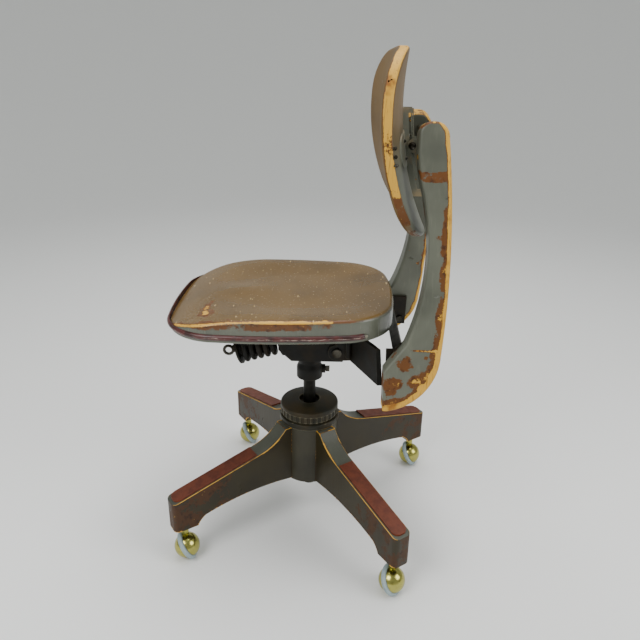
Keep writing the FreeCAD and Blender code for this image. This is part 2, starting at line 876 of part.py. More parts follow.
def make_hub_socket():
    hub = body("hub_socket")
    rim_top = FLANGE_TOP + " + hub_rim_height"
    rim_inner = "hub_flange_radius - hub_rim_thickness"
    low = "column_top - hub_tube_length"
    tube = "column_bore - joint_gap"
    profile = [
        ("hub_bore", low),
        (tube, low),
        (tube, "column_top"),
        ("hub_flange_radius - 2", "column_top"),
        ("hub_flange_radius", "column_top + 2"),
        ("hub_flange_radius", rim_top + " - 2.5", "2.5", 1),
        ("hub_flange_radius - 2.5", rim_top),
        (rim_inner, rim_top),
        (rim_inner, FLANGE_TOP),
        ("hub_bore", FLANGE_TOP),
    ]
    revolve(hub, "hub_turning", "XZ", [profile])
    place(hub)


def make_sleeve():
    sleeve = body("swivel_sleeve")
    inner, outer = "spindle_radius + running_fit", "hub_bore - running_fit"
    low, under = SLEEVE_TOP + " - sleeve_length", FLANGE_TOP + " + face_gap"
    profile = [
        (inner, low),
        (outer, low),
        (outer, under),
        ("sleeve_flange_radius", under),
        ("sleeve_flange_radius", SLEEVE_TOP),
        (inner, SLEEVE_TOP),
    ]
    revolve(sleeve, "sleeve_turning", "XZ", [profile])
    half, deep = "key_width / 2", "spindle_radius - key_depth"
    root = "spindle_radius + 1.5"
    key = [("0 - " + half, deep), (half, deep), (half, root), ("0 - " + half, root)]
    pad(sleeve, "sleeve_key", "XY", [key], "sleeve_length - 0.02", middle=False, offset=low + " + 0.01")


def make_handwheel():
    wheel = body("handwheel")
    low = SLEEVE_TOP + " + face_gap"
    bore = "spindle_radius + running_fit"
    edge_top = "wheel_flute_bottom + wheel_edge_height"
    crown = edge_top + " + wheel_edge_round"
    inner_edge = "wheel_radius - wheel_edge_round"
    profile = [
        (bore, low),
        ("wheel_hub_radius", low),
        ("wheel_hub_radius", "wheel_flute_bottom - 1.5"),
        ("wheel_radius - 1.2", "wheel_flute_bottom"),
        ("wheel_radius", "wheel_flute_bottom + 1.2"),
        ("wheel_radius", edge_top, "wheel_edge_round", 1),
        (inner_edge, crown, "wheel_dome_radius", 1),
        ("wheel_well_radius + 1.5", crown + " + wheel_dome_rise"),
        ("wheel_well_radius", crown + " + wheel_dome_rise - 1.5"),
        ("wheel_well_radius", crown + " + wheel_dome_rise - wheel_well_depth"),
        (bore, crown + " + wheel_dome_rise - wheel_well_depth"),
    ]
    revolve(wheel, "wheel_turning", "XZ", [profile])
    scoop = [("circle", "wheel_radius - flute_depth + flute_radius", "0", "flute_radius")]
    start = "wheel_flute_bottom - 3"
    flute = pocket(wheel, "wheel_flute", "XY", scoop, "flute_height", upward=True, offset=start)
    polar(wheel, "wheel_flutes", flute, "flute_count")


def make_spindle():
    spindle = body("spindle")
    top = "spindle_top"
    profile = [
        ("0", "spindle_bottom"),
        ("spindle_radius", "spindle_bottom"),
        ("spindle_radius", top),
        ("0", top),
    ]
    revolve(spindle, "spindle_turning", "XZ", [profile])
    half, deep = "key_width / 2 + key_clearance", "spindle_radius - key_depth - key_clearance"
    out = "spindle_radius + 2"
    slot = [(minus(half), deep), (half, deep), (half, out), (minus(half), out)]
    start = "spindle_bottom + stop_height + 2"
    run = "hub_collar_bottom - (%s) - 4" % start
    pocket(spindle, "spindle_keyway", "XY", [slot], run, upward=True, offset=start)
    thread = "spindle_radius - 2"
    neck = [
        ("spindle_radius + 3", "spindle_bottom - 1"),
        (thread, "spindle_bottom - 1"),
        (thread, "spindle_bottom + stop_height"),
        ("spindle_radius + 3", "spindle_bottom + stop_height"),
    ]
    groove = spindle.newObject("PartDesign::Groove", "spindle_neck")
    sketch = body_sketch(spindle, "spindle_neck_sketch", "XZ", [neck])
    groove.Profile = sketch
    groove.ReferenceAxis = (sketch, ["V_Axis"])
    groove.Angle = 360
    doc.recompute()
    stop = body("spindle_stop")
    inner, high = thread + " + joint_gap", "spindle_bottom + stop_height - joint_gap"
    low, outer = "spindle_bottom", "stop_radius"
    ring = [(inner, low), (outer, low), (outer, high), (inner, high)]
    revolve(stop, "stop_turning", "XZ", [ring])


def make_lift():
    make_hub_socket()
    make_sleeve()
    make_handwheel()
    make_spindle()


# Seat

def seat_outline(grow="0"):
    """Four bowed sides; the corners are rounded afterwards."""
    near, far = "seat_half_front + %s" % grow, "seat_half_rear + %s" % grow
    front, rear = "0 - seat_front_corner - %s" % grow, "seat_rear_corner + %s" % grow
    return [
        (near, front, "seat_side_radius + %s" % grow, 1),
        (far, rear, "seat_rear_radius + %s" % grow, 1),
        ("0 - (%s)" % far, rear, "seat_side_radius + %s" % grow, 1),
        ("0 - (%s)" % near, front, "seat_front_radius + %s" % grow, 1),
    ]


def seat_blank(item, name, height, offset, grow="0"):
    """A slab with the seat's plan, its corners rounded."""
    pad(item, name, "XY", [seat_outline(grow)], height, middle=False, offset=offset)
    post = lambda edge: span(edge, "z") > 1 and span(edge, "x") < 0.01
    front = lambda edge: post(edge) and edge.BoundBox.YMin < 0
    rear = lambda edge: post(edge) and edge.BoundBox.YMin > 0
    round_edges(item, name + "_front_corners", "seat_front_round + %s" % grow, front)
    round_edges(item, name + "_rear_corners", "seat_rear_round + %s" % grow, rear)


def make_seat():
    seat = body("seat")
    seat_blank(seat, "seat_slab", "seat_thickness", "seat_bottom")
    top = "seat_bottom + seat_thickness"
    front = "0 - seat_front - 30"
    fall = "(seat_fall_run + 30)"
    drop = "%s - seat_fall_radius + sqrt(seat_fall_radius ^ 2 - %s ^ 2)" % (top, fall)
    above = [
        (front, drop, "seat_fall_radius", -1),
        ("0 - seat_fall_start", top),
        ("0 - seat_fall_start", top + " + 20"),
        (front, top + " + 20"),
    ]
    pocket(seat, "seat_fall", "YZ", [above])
    hole = "seat_screw_radius + 0.05"
    holes = [("circle", x, y, hole) for x, y in seat_screw_places()]
    deep = "seat_screw_length - iron_strap_thickness + 1"
    pocket(seat, "seat_pilots", "XY", holes, deep, upward=True, offset="seat_bottom")
    bottom = number("seat_bottom")
    low_edge = lambda edge: edge.BoundBox.ZMax < bottom + 0.01 and edge.BoundBox.DiagonalLength > 30
    round_edges(seat, "seat_lip", "seat_bottom_round", low_edge)
    high = bottom + number("seat_bottom_round") + 2

    def rim(edge):
        box = edge.BoundBox
        return box.ZMin > high and box.DiagonalLength > 20 and not straight_across(edge)

    round_edges(seat, "seat_rim", "seat_top_round", rim)


def straight_across(edge):
    return span(edge, "y") < 0.01 and span(edge, "z") < 0.01


def seat_screw_places():
    front, rear = "0 - iron_front + iron_strap_width / 2", "iron_rear - iron_strap_width / 2"
    inner, outer = "seat_screw_inner", "seat_screw_outer"
    across = [sign + reach for sign in ("", "0 - ") for reach in (inner, outer)]
    return [(x, y) for x in across for y in (front, rear)]


def make_strip():
    """A half-round strip bent round the front of the seat, from nail to nail."""
    rim = seat_rim_wire("seat_bottom + seat_bottom_round + strip_height / 2 + 2.5")
    path = trimmed_path(rim, number("strip_end"))
    start = path.Edges[0].valueAt(path.Edges[0].FirstParameter)
    along = path.Edges[0].tangentAt(path.Edges[0].FirstParameter)
    out = Vector(along.y, -along.x, 0).normalize()
    if out.x * start.x < 0:
        out = out * -1
    half, wide = number("strip_height / 2"), number("strip_width")
    base = start + out * 0.1
    high, low, tip = base + Vector(0, 0, half), base - Vector(0, 0, half), base + out * wide
    section = Part.Wire([Part.Arc(low, tip, high).toShape(), Part.makeLine(high, low)])
    swept = path.makePipeShell([section], True, False)
    strip = piece(add("Part::Feature", "bumper_strip"), "bumper_strip")
    strip.Shape = swept
    return path


def seat_rim_wire(height):
    """The seat's outline at a height, from its slab before the edges are rounded."""
    slab = doc.getObject("seat_slab_rear_corners").Shape
    level = number(height)
    return max(slab.slice(Vector(0, 0, 1), level), key=lambda wire: wire.Length)


def trimmed_path(wire, rear):
    """The part of the outline in front of a line across the seat."""
    frame = wire.BoundBox
    corner = Vector(frame.XMin - 1, frame.YMin - 1, frame.ZMin - 1)
    kept = wire.common(Part.makeBox(frame.XLength + 2, rear - corner.y, 2, corner))
    return Part.Wire(Part.__sortEdges__(kept.Edges))


def make_nails(path):
    """A round-head nail through each end of the strip."""
    nails = []
    for index, point in enumerate((path.OrderedVertexes[0].Point, path.OrderedVertexes[-1].Point)):
        side = 1 if point.x > 0 else -1
        out = Vector(side, 0.22, 0).normalize()
        beside = Vector(-side * 0.375, number("strip_nail_radius") + 0.6, 0)
        head_base = point + beside + out * 0.2
        shank = Part.makeCylinder(number("nail_shank_radius"), number("nail_length"), head_base, out * -1)
        head = Part.makeSphere(number("strip_nail_radius"), head_base, out)
        nails.append(head.fuse(shank).removeSplitter())
    return nails


# Seat iron

def wall_profile():
    nose = "iron_nose_run"
    return [
        ("0 - iron_front", "seat_bottom"),
        ("0 - iron_front", "iron_nose_height"),
        ("0 - iron_front + " + nose, "iron_bottom"),
        ("iron_rear", "iron_bottom"),
        ("iron_rear", "seat_bottom"),
    ]


PULL_TURN = "pull_slope - 90"


def pull_point(along):
    """A point on the line of the pull rod, by its way along it from the lever pin."""
    way = "(pull_slope * 1deg)"
    rear = "pivot_rear - lever_arm * sin%s + (%s) * cos%s" % (way, along, way)
    high = "pivot_height + lever_arm * cos%s + (%s) * sin%s" % (way, along, way)
    return ("0", rear, high)


def make_seat_iron():
    walls = []
    for side, sign in SIDES:
        start = "%d * (iron_wall_gap + iron_wall_thickness) / 2" % sign
        walls.append(extrude("iron_wall_" + side, "YZ", [wall_profile()], "iron_wall_thickness", start=start))
    web = block(
        "iron_web", "iron_wall_gap + 2", "iron_rear + iron_front - iron_nose_run - 22", "iron_web_thickness",
        ("0 - iron_wall_gap / 2 - 1", "iron_nose_run - iron_front", "iron_bottom"),
    )
    straps = []
    size = ("2 * iron_strap_reach", "iron_strap_width", "iron_strap_thickness")
    for name, start in (("front", "0 - iron_front"), ("rear", "iron_rear - iron_strap_width")):
        base = ("0 - iron_strap_reach", start, "seat_bottom - iron_strap_thickness")
        straps.append(block("iron_strap_" + name, *size, base))
    collar = rod("iron_collar", "hub_collar_radius", "hub_collar_height", ("0", "0", "hub_collar_bottom"))
    shoulder = solid(
        "Part::Cone", "iron_shoulder", Radius1="hub_collar_radius", Radius2="hub_neck_radius", Height="10")
    place(shoulder, ("0", "0", "hub_collar_bottom + hub_collar_height"))
    foot = "hub_collar_bottom + 5"
    neck = rod("iron_neck", "hub_neck_radius", "hub_top - (%s)" % foot, ("0", "0", foot))
    skirt = solid(
        "Part::Cone", "iron_skirt", Radius1="hub_neck_radius", Radius2="hub_neck_radius + 9", Height="22")
    place(skirt, ("0", "0", "iron_bottom - 18"))
    boss = rearward("iron_set_boss", "set_boss_radius", "set_boss_reach", "0", "set_screw_height")
    lug = rod("iron_lug", "lug_radius", "lug_thickness", pull_point("0 - lug_reach"), (1, 0, 0), PULL_TURN)
    whole = fuse("iron_whole", walls + straps + [web, collar, shoulder, neck, skirt, boss, lug])
    bore = rod(
        "iron_bore", "spindle_radius + joint_gap", "spindle_top - hub_collar_bottom + 1",
        ("0", "0", "hub_collar_bottom - 1 + 0.3"),
    )
    outside = "iron_wall_gap / 2 + iron_wall_thickness + 1"
    pin = crosswise(
        "iron_pin_hole", "pivot_pin_radius + joint_gap", "2 * (%s)" % outside, minus(outside),
        "pivot_rear", "pivot_height")
    behind = "0 - lug_reach - lug_thickness - 30"
    pull = rod("iron_rod_hole", "rod_radius + rod_clearance", "60", pull_point(behind), (1, 0, 0), PULL_TURN)
    grub = rearward(
        "iron_grub_hole", "set_screw_radius + joint_gap", "set_boss_reach + 1", "0", "set_screw_height")
    holes = [bore, pin, pull, grub]
    for index, (x_text, y_text) in enumerate(seat_screw_places()):
        base = (x_text, y_text, "seat_bottom - iron_strap_thickness - 1")
        hole = rod(
            "iron_screw_hole_%d" % index, "seat_screw_radius + joint_gap", "iron_strap_thickness + 2", base)
        holes.append(hole)
    top = block(
        "iron_headroom", "2 * iron_strap_reach", "iron_front + iron_rear", "20",
        ("0 - iron_strap_reach", "0 - iron_front", "seat_bottom"))
    piece(cut("seat_iron_casting", whole, holes + [top]), "seat_iron")


def make_set_screw():
    screw = body("set_screw")
    tip, head = "spindle_radius + 0.3", "set_boss_reach + 0.2"
    profile = [
        ("0", tip),
        ("set_screw_radius", tip),
        ("set_screw_radius", head),
        ("set_screw_radius + 1", head),
        ("set_screw_radius + 1", head + " + 1"),
        ("0", head + " + 1"),
    ]
    revolve(screw, "set_screw_turning", "XZ", [profile])
    half = "set_screw_radius"
    square = [("0 - " + half, "0 - " + half), (half, "0 - " + half), (half, half), ("0 - " + half, half)]
    pad(screw, "set_screw_head", "XY", [square], "8", middle=False, offset=head + " + 0.5")
    place(screw, ("0", "0", "set_screw_height"), (1, 0, 0), "-90")


def make_seat_screws():
    screws = []
    under = "seat_bottom - iron_strap_thickness"
    for index, place_text in enumerate(seat_screw_places()):
        low = place_text + (under + " - joint_gap - 2.6",)
        shank = rod(
            "seat_screw_shank_%d" % index, "seat_screw_radius", "seat_screw_length + 1",
            place_text + (under + " - 1",))
        head = rod("seat_screw_head_%d" % index, "seat_screw_head", "2.6", low)
        screws.append(fuse("seat_screw_%d" % index, [shank, head]))
    group("seat_screws", screws)


def make_pivot_pin():
    pin = body("pivot_pin")
    ear = "iron_wall_gap / 2 + iron_wall_thickness + carrier_ear_gap + carrier_thickness"
    inner = ear + " + face_gap"
    outer = inner + " + pivot_head_thickness"
    profile = [
        ("0 - (%s)" % outer, "0"),
        (outer, "0"),
        (outer, "pivot_head_radius"),
        (inner, "pivot_head_radius"),
        (inner, "pivot_pin_radius"),
        ("0 - (%s)" % inner, "pivot_pin_radius"),
        ("0 - (%s)" % inner, "pivot_head_radius"),
        ("0 - (%s)" % outer, "pivot_head_radius"),
    ]
    revolve(pin, "pivot_pin_turning", "XY", [profile], axis="H_Axis")
    place(pin, ("0", "pivot_rear", "pivot_height"))


def make_seat_frame():
    make_seat()
    path = make_strip()
    nails = make_nails(path)
    item = piece(add("Part::Feature", "strip_nails"), "strip_nails")
    item.Shape = Part.makeCompound(nails)
    make_seat_iron()
    make_set_screw()
    make_seat_screws()
    make_pivot_pin()


# Tension rod and spring, turned about the line of the pull rod

def along_pull(item, along="0"):
    return place(item, pull_point(along), (1, 0, 0), PULL_TURN)


def make_clevis():
    arm_out = "clevis_gap / 2 + clevis_arm"
    front, rear = "0 - clevis_reach - clevis_block", "clevis_reach"
    inner = "0 - clevis_reach"
    plan = [
        ("0 - (%s)" % arm_out, front),
        (arm_out, front),
        (arm_out, rear),
        ("clevis_gap / 2", rear),
        ("clevis_gap / 2", inner),
        ("0 - clevis_gap / 2", inner),
        ("0 - clevis_gap / 2", rear),
        ("0 - (%s)" % arm_out, rear),
    ]
    clevis = body("rod_clevis")
    pad(clevis, "clevis_fork", "XZ", [plan], "clevis_height")
    hole = [("circle", "0", "0", "clevis_pin_radius + joint_gap")]
    pocket(clevis, "clevis_pin_hole", "YZ", hole)
    bore = [("circle", "0", "0", "rod_radius + running_fit")]
    below = front + " - 1"
    pocket(clevis, "clevis_bore", "XY", bore, "clevis_block + 3", upward=True, offset=below)
    along_pull(clevis)
    pin = body("clevis_pin")
    side = arm_out + " + joint_gap"
    profile = [
        ("0 - (%s) - 2" % side, "0"),
        ("%s + 2" % side, "0"),
        ("%s + 2" % side, "clevis_pin_radius + 2"),
        (side, "clevis_pin_radius + 2"),
        (side, "clevis_pin_radius"),
        ("0 - (%s)" % side, "clevis_pin_radius"),
        ("0 - (%s)" % side, "clevis_pin_radius + 2"),
        ("0 - (%s) - 2" % side, "clevis_pin_radius + 2"),
    ]
    revolve(pin, "clevis_pin_turning", "XY", [profile], axis="H_Axis")
    along_pull(pin)


SPRING_FOOT = "(0 - lug_reach - face_gap)"
CAP_REAR = "(%s - spring_length - face_gap)" % SPRING_FOOT
EYE_NECK = "(%s - cap_thickness - cap_boss_length - eye_gap)" % CAP_REAR


def make_eye_screw():
    eye_middle = EYE_NECK + " - eye_ring_radius - eye_wire - 1"
    shank_length = "0 - clevis_reach - 3 - (%s)" % (EYE_NECK + " - 2")
    shank = along_pull(rod("eye_shank", "rod_radius", shank_length), EYE_NECK + " - 2")
    collar = along_pull(rod("eye_collar", "rod_radius + 2.5", "4.5"), EYE_NECK + " - 4.5")
    ring = solid("Part::Torus", "eye_ring", Radius1="eye_ring_radius", Radius2="eye_wire")
    place(ring, pull_point(eye_middle), (0, 1, 0), "90")
    piece(fuse("eye_whole", [shank, collar, ring]), "eye_screw")


def make_cap():
    cap = body("spring_cap")
    bore = "rod_radius + running_fit"
    rear, front = CAP_REAR, "%s - cap_thickness" % CAP_REAR
    nose = front + " - cap_boss_length"
    pilot = "spring_radius - spring_wire - 1"
    profile = [
        (bore, nose),
        ("cap_boss_radius", nose),
        ("cap_boss_radius", front),
        ("cap_radius", front),
        ("cap_radius", rear),
        (pilot, rear),
        (pilot, rear + " + 4"),
        (bore, rear + " + 4"),
    ]
    revolve(cap, "cap_turning", "XZ", [profile])
    along_pull(cap)


def biarc(start, start_way, end, end_way):
    """Two arcs that leave one point and reach another in given directions."""
    gap = start - end
    both = start_way + end_way
    a = 2 * (1 - start_way.dot(end_way))
    b = 2 * gap.dot(both)
    c = gap.dot(gap)
    if abs(a) < 1e-9:
        reach = -c / b
    else:
        root = math.sqrt(b * b + 4 * a * c)
        reach = abs(max((-b + root) / (-2 * a), (-b - root) / (-2 * a), key=lambda value: value > 0))
    first, last = start + start_way * reach, end - end_way * reach
    joint = (first + last) / 2
    return [arc_from(start, start_way, joint), arc_from(end, end_way * -1, joint, back=True)]


def arc_from(start, way, end, back=False):
    """The arc that leaves a point in a direction and reaches another point."""
    chord = end - start
    along = way.dot(chord)
    normal = chord - way * along
    radius = chord.dot(chord) / (2 * normal.Length)
    centre = start + normal.normalize() * radius
    middle = (start + end) / 2 - centre
    through = centre + middle.normalize() * radius
    points = (end, through, start) if back else (start, through, end)
    return Part.Arc(*points).toShape()


def coil_point(angle, radius, rise):
    """A point of a helix and its direction there."""
    point = Vector(radius * math.cos(angle), radius * math.sin(angle), rise * angle / (2 * math.pi))
    way = Vector(-radius * math.sin(angle), radius * math.cos(angle), rise / (2 * math.pi)).normalize()
    return point, way


def make_spring():
    """An open coil of round wire, one unbroken tube from the lug to the cap."""
    radius, wire, turns = number("spring_radius"), number("spring_wire"), number("spring_turns")
    rise = (number("spring_length") - 2 * wire) / turns
    count = int(round(turns * 4))
    edges = []
    for step in range(count):
        start, start_way = coil_point(step * math.pi / 2, radius, rise)
        end, end_way = coil_point((step + 1) * math.pi / 2, radius, rise)
        edges += biarc(start, start_way, end, end_way)
    path = Part.Wire(edges)
    circle = Part.Circle(Vector(radius, 0, 0), coil_point(0, radius, rise)[1], wire)
    coil = path.makePipeShell([Part.Wire([circle.toShape()])], True, False)
    gap = least_coil_gap(radius, rise, wire, turns)
    print("spring gap %.2f mm, length %.1f mm" % (gap, path.Length))
    share = coil.Volume / (math.pi * wire ** 2 * path.Length)
    print("spring volume over section times length %.4f" % share)
    spring = piece(add("Part::Feature", "tension_spring"), "tension_spring")
    spring.Shape = coil
    x_text, y_text, z_text = pull_point(SPRING_FOOT + " - spring_length + spring_wire")
    turn = Rotation(Vector(1, 0, 0), number(PULL_TURN))
    spring.Placement = Placement(Vector(0, number(y_text), number(z_text)), turn)


def least_coil_gap(radius, rise, wire, turns):
    """Least clear space between points more than a third of a turn apart on the wire."""
    step = math.pi / 18
    points = [coil_point(index * step, radius, rise)[0] for index in range(int(turns * 36) + 1)]
    gaps = [
        (one - other).Length
        for index, one in enumerate(points)
        for other in points[index + 12:index + 48]
    ]
    return min(gaps) - 2 * wire


def make_tension():
    make_clevis()
    make_eye_screw()
    make_cap()
    make_spring()


# Back frame

def upright_outline():
    return [
        ("upright_front", "4"),
        ("upright_tip_rear", "2", "upright_heel_radius", 1),
        ("upright_heel_rear", "upright_heel_height", "upright_back_radius", 1),
        ("upright_head_rear", "upright_length"),
        ("upright_head_front", "upright_length"),
        ("upright_head_front", "upright_head_start"),
        ("upright_waist_end_rear", "upright_waist_end", "upright_waist_radius", -1),
        ("upright_waist_start_rear", "upright_waist_start"),
        ("upright_front", "upright_block_top"),
    ]


def frame_bolt_places():
    """Bolts of the carrier pads, by rear distance and height along the upright."""
    return [
        ("upright_front + frame_bolt_front", "frame_bolt_low"),
        ("upright_front + frame_bolt_back", "frame_bolt_low"),
        ("upright_front + frame_bolt_middle", "frame_bolt_high"),
    ]


def make_upright(side, sign):
    upright = body("upright_" + side)
    pad(upright, "upright_blank_" + side, "YZ", [upright_outline()], "upright_thickness")
    top, front = number("upright_length"), number("upright_head_front")
    waist = number("upright_waist_end_rear")
    bends = [number("upright_waist_end"), number("upright_head_start")]

    def at_height(edge, level):
        return span(edge, "x") > 1 and abs(edge.BoundBox.ZMin - level) < 0.1

    def nose(edge):
        return at_height(edge, top) and edge.BoundBox.YMin < front + 1

    def crown(edge):
        return at_height(edge, top) and edge.BoundBox.YMin > front + 1

    def bend(edge):
        return edge.BoundBox.YMin < waist + 1 and any(at_height(edge, level) for level in bends)

    round_edges(upright, "upright_nose_" + side, "upright_head_front_round", nose)
    round_edges(upright, "upright_crown_" + side, "upright_head_rear_round", crown)
    round_edges(upright, "upright_bends_" + side, "upright_bend_round", bend)
    drills = [("circle", y, z, "frame_bolt_radius + joint_gap") for y, z in frame_bolt_places()]
    face = "%d * upright_thickness / 2" % -sign
    deep = "frame_bolt_depth + 1"
    pocket(upright, "upright_drills_" + side, "YZ", drills, deep, upward=sign > 0, offset=face)
    half, heel = number("upright_thickness / 2"), number("upright_heel_height")

    def rim(edge):
        box = edge.BoundBox
        return box.XLength < 0.01 and abs(abs(box.XMin) - half) < 0.01 and box.ZMax > heel + 1

    round_edges(upright, "upright_edges_" + side, "upright_edge_round", rim)
    foot = ("%d * upright_foot_spread" % sign, "0", "upright_base")
    place(upright, foot, (0, 1, 0), "%d * upright_lean" % -sign)


def inner_half(height):
    """Half the clear width between the uprights at a height."""
    lean = "(upright_lean * 1deg)"
    middle = "upright_foot_spread - (%s - upright_base) * tan%s" % (height, lean)
    return "%s - upright_thickness / 2 / cos%s" % (middle, lean)


def between_uprights(name, inset, low, high):
    """A tapered prism that fills the space between the uprights, less an inset."""
    wide, narrow = inner_half(low) + " - " + inset, inner_half(high) + " - " + inset
    outline = [("0 - (%s)" % wide, low), (wide, low), (narrow, high), ("0 - (%s)" % narrow, high)]
    return extrude(name, "XZ", [outline], "900")


def make_yoke():
    """The bowed rail that joins the tops of the uprights."""
    low, top = "yoke_bottom", "yoke_bottom + yoke_height"
    ring = add("Sketcher::SketchObject", "yoke_sketch")
    ring.Placement = PLANES["YZ"]
    outer = "yoke_radius + yoke_thickness"
    draw(ring, [[("yoke_radius", low), (outer, low), (outer, top), ("yoke_radius", top)]])
    bow = add("Part::Revolution", "yoke_bow")
    bow.Source = ring
    bow.Axis = Vector(0, 0, 1)
    bow.Angle = 90
    bow.Symmetric = True
    bow.Solid = True
    place(bow, ("0", "yoke_front - yoke_radius", "0"))
    doc.recompute()
    soft = add("Part::Fillet", "yoke_soft")
    soft.Base = bow
    radius = number("yoke_edge_round")
    soft.Edges = [
        (index, radius, radius)
        for index, edge in enumerate(bow.Shape.Edges, start=1)
        if span(edge, "z") < 0.01 and span(edge, "x") > 60
    ]
    room = between_uprights("yoke_room", "joint_gap", "yoke_bottom - 5", "yoke_bottom + yoke_height + 5")
    piece(common("yoke_trim", [soft, room]), "crosspiece")


def carrier_side():
    """Side view of the carrier: low at the pivot and full height at the uprights."""
    return [
        ("pivot_rear - carrier_ear_radius", "pivot_height - carrier_ear_radius + 1"),
        ("pivot_rear", "pivot_height - carrier_ear_radius"),
        ("carrier_pad_rear", "carrier_bottom + 4"),
        ("carrier_pad_rear", "carrier_top"),
        ("carrier_pad_front - 20", "carrier_top"),
        ("pivot_rear + 8", "pivot_height + 46"),
        ("pivot_rear - carrier_ear_radius", "pivot_height + carrier_ear_radius"),
    ]


def carrier_plan(sign):
    """Plan of one arm: straight beside the iron, then out to the upright."""
    inner = "iron_wall_gap / 2 + iron_wall_thickness + carrier_ear_gap"
    outer = inner + " + carrier_thickness"
    mirror = "%d * (%%s)" % sign
    return [
        (mirror % inner, "pivot_rear"),
        (mirror % outer, "pivot_rear"),
        (mirror % outer, "carrier_bend_rear"),
        (mirror % "upright_foot_spread", "carrier_pad_front - 2"),
        (mirror % "upright_foot_spread", "carrier_pad_front + carrier_thickness + 1"),
        (mirror % inner, "carrier_bend_rear + 3"),
    ]


def make_carrier():
    low, high = "carrier_bottom - 20", "carrier_top + 10"
    tall = "%s - (%s)" % (high, low)
    arms = []
    for side, sign in SIDES:
        loop = carrier_plan(sign) if sign > 0 else list(reversed(carrier_plan(sign)))
        arm = extrude("carrier_arm_" + side, "XY", [loop], tall, middle=False, start=low)
        arms.append(arm)
    web_half = "iron_wall_gap / 2 + iron_wall_thickness + carrier_ear_gap + 1"
    web = block(
        "carrier_web", "2 * (%s)" % web_half, "carrier_thickness", tall,
        ("0 - (%s)" % web_half, "carrier_web_rear", low),
    )
    view = extrude("carrier_view", "YZ", [carrier_side()], "500")
    room = between_uprights("carrier_room", "joint_gap", "upright_base", "carrier_top + 20")
    frame = common("carrier_frame", [fuse("carrier_plates", arms + [web]), view, room])
    pad_box = block(
        "carrier_pad_box", "2 * upright_foot_spread", "carrier_pad_rear - carrier_pad_front",
        "carrier_top - carrier_bottom", ("0 - upright_foot_spread", "carrier_pad_front", "carrier_bottom"),
    )
    shell = common("carrier_pad_block", [pad_box, room])
    low, high = "upright_base - 10", "carrier_top + 30"
    inside = between_uprights("carrier_inside", "carrier_pad_thickness", low, high)
    pads = cut("carrier_pads", shell, [inside])
    ears = []
    for side, sign in SIDES:
        start = "iron_wall_gap / 2 + iron_wall_thickness + carrier_ear_gap"
        left = start if sign > 0 else "0 - (%s) - carrier_thickness" % start
        ear = crosswise(
            "carrier_ear_" + side, "carrier_ear_radius", "carrier_thickness", left,
            "pivot_rear", "pivot_height")
        ears.append(ear)
    lever = make_lever()
    ribs = [make_rib(side, sign) for side, sign in SIDES]
    whole = fuse("carrier_whole", [frame, pads, lever] + ears + ribs)
    pin = crosswise(
        "carrier_pin_hole", "pivot_pin_radius + running_fit", "2 * (%s) + 20" % web_half,
        "0 - (%s) - 10" % web_half, "pivot_rear", "pivot_height")
    drills = []
    bore, start = "frame_bolt_radius + joint_gap", "0 - 2 * carrier_pad_thickness"
    for side, sign in SIDES:
        for index, spot in enumerate(frame_bolt_places()):
            tag = "carrier_drill_%s_%d" % (side, index)
            drills.append(frame_rod(tag, sign, *spot, bore, start, "4 * carrier_pad_thickness"))
    piece(cut("carrier_casting", whole, [pin] + drills), "back_carrier")


def make_rib(side, sign):
    """A stiffening rib across the outside of an arm, below its bend."""
    reach = "iron_wall_gap / 2 + iron_wall_thickness + carrier_ear_gap + carrier_thickness"
    start = reach + " - 1" if sign > 0 else "0 - (%s) - 8" % reach
    base = (start, "carrier_bend_rear - 8", "carrier_bottom + 6")
    return block("carrier_rib_" + side, "9", "carrier_rib_thickness", "carrier_height - 19", base)


def make_lever():
    """The upright lug between the walls of the seat iron that pulls the rod."""
    way = "(pull_slope * 1deg)"

    def at_arm(share):
        """A point of the lever at its arm plus a share of the slot."""
        arm = "(lever_arm + %s)" % share
        return "pivot_rear - %s * sin%s" % (arm, way), "pivot_height + %s * cos%s" % (arm, way)

    rear, high = at_arm("0")
    outline = [
        ("carrier_web_rear + 1", "pivot_height + 14"),
        ("carrier_web_rear + 1", high),
        (rear, high + " + lever_hole_radius + 4"),
        (rear + " - 4", high),
        (rear + " - 4", high + " - 8"),
        ("pivot_rear", "pivot_height + 22"),
    ]
    blank = extrude("lever_blank", "YZ", [outline], "lever_thickness")
    knob = crosswise(
        "lever_knob", "lever_hole_radius + 5", "lever_thickness", "0 - lever_thickness / 2",
        *at_arm("lever_hole_run / 2"))
    holes = [
        crosswise(
            "lever_hole_%d" % index, "lever_hole_radius", "2 * lever_thickness", "0 - lever_thickness",
            *at_arm(share))
        for index, share in enumerate(("0", "lever_hole_run / 2", "lever_hole_run"))
    ]
    return cut("lever", fuse("lever_solid", [blank, knob]), holes)


def frame_rod(name, sign, y_text, z_text, radius, start, length):
    """A cylinder square to the inner face of an upright, by its place on that upright."""
    lean = "(upright_lean * 1deg)"
    height = "(%s)" % z_text
    across = "(upright_thickness / 2 - (%s))" % start
    x_text = "%d * (upright_foot_spread - %s * sin%s - %s * cos%s)" % (sign, height, lean, across, lean)
    z_full = "upright_base + %s * cos%s - %s * sin%s" % (height, lean, across, lean)
    angle = "90 - upright_lean" if sign > 0 else "upright_lean - 90"
    return rod(name, radius, length, (x_text, y_text, z_full), (0, 1, 0), angle)


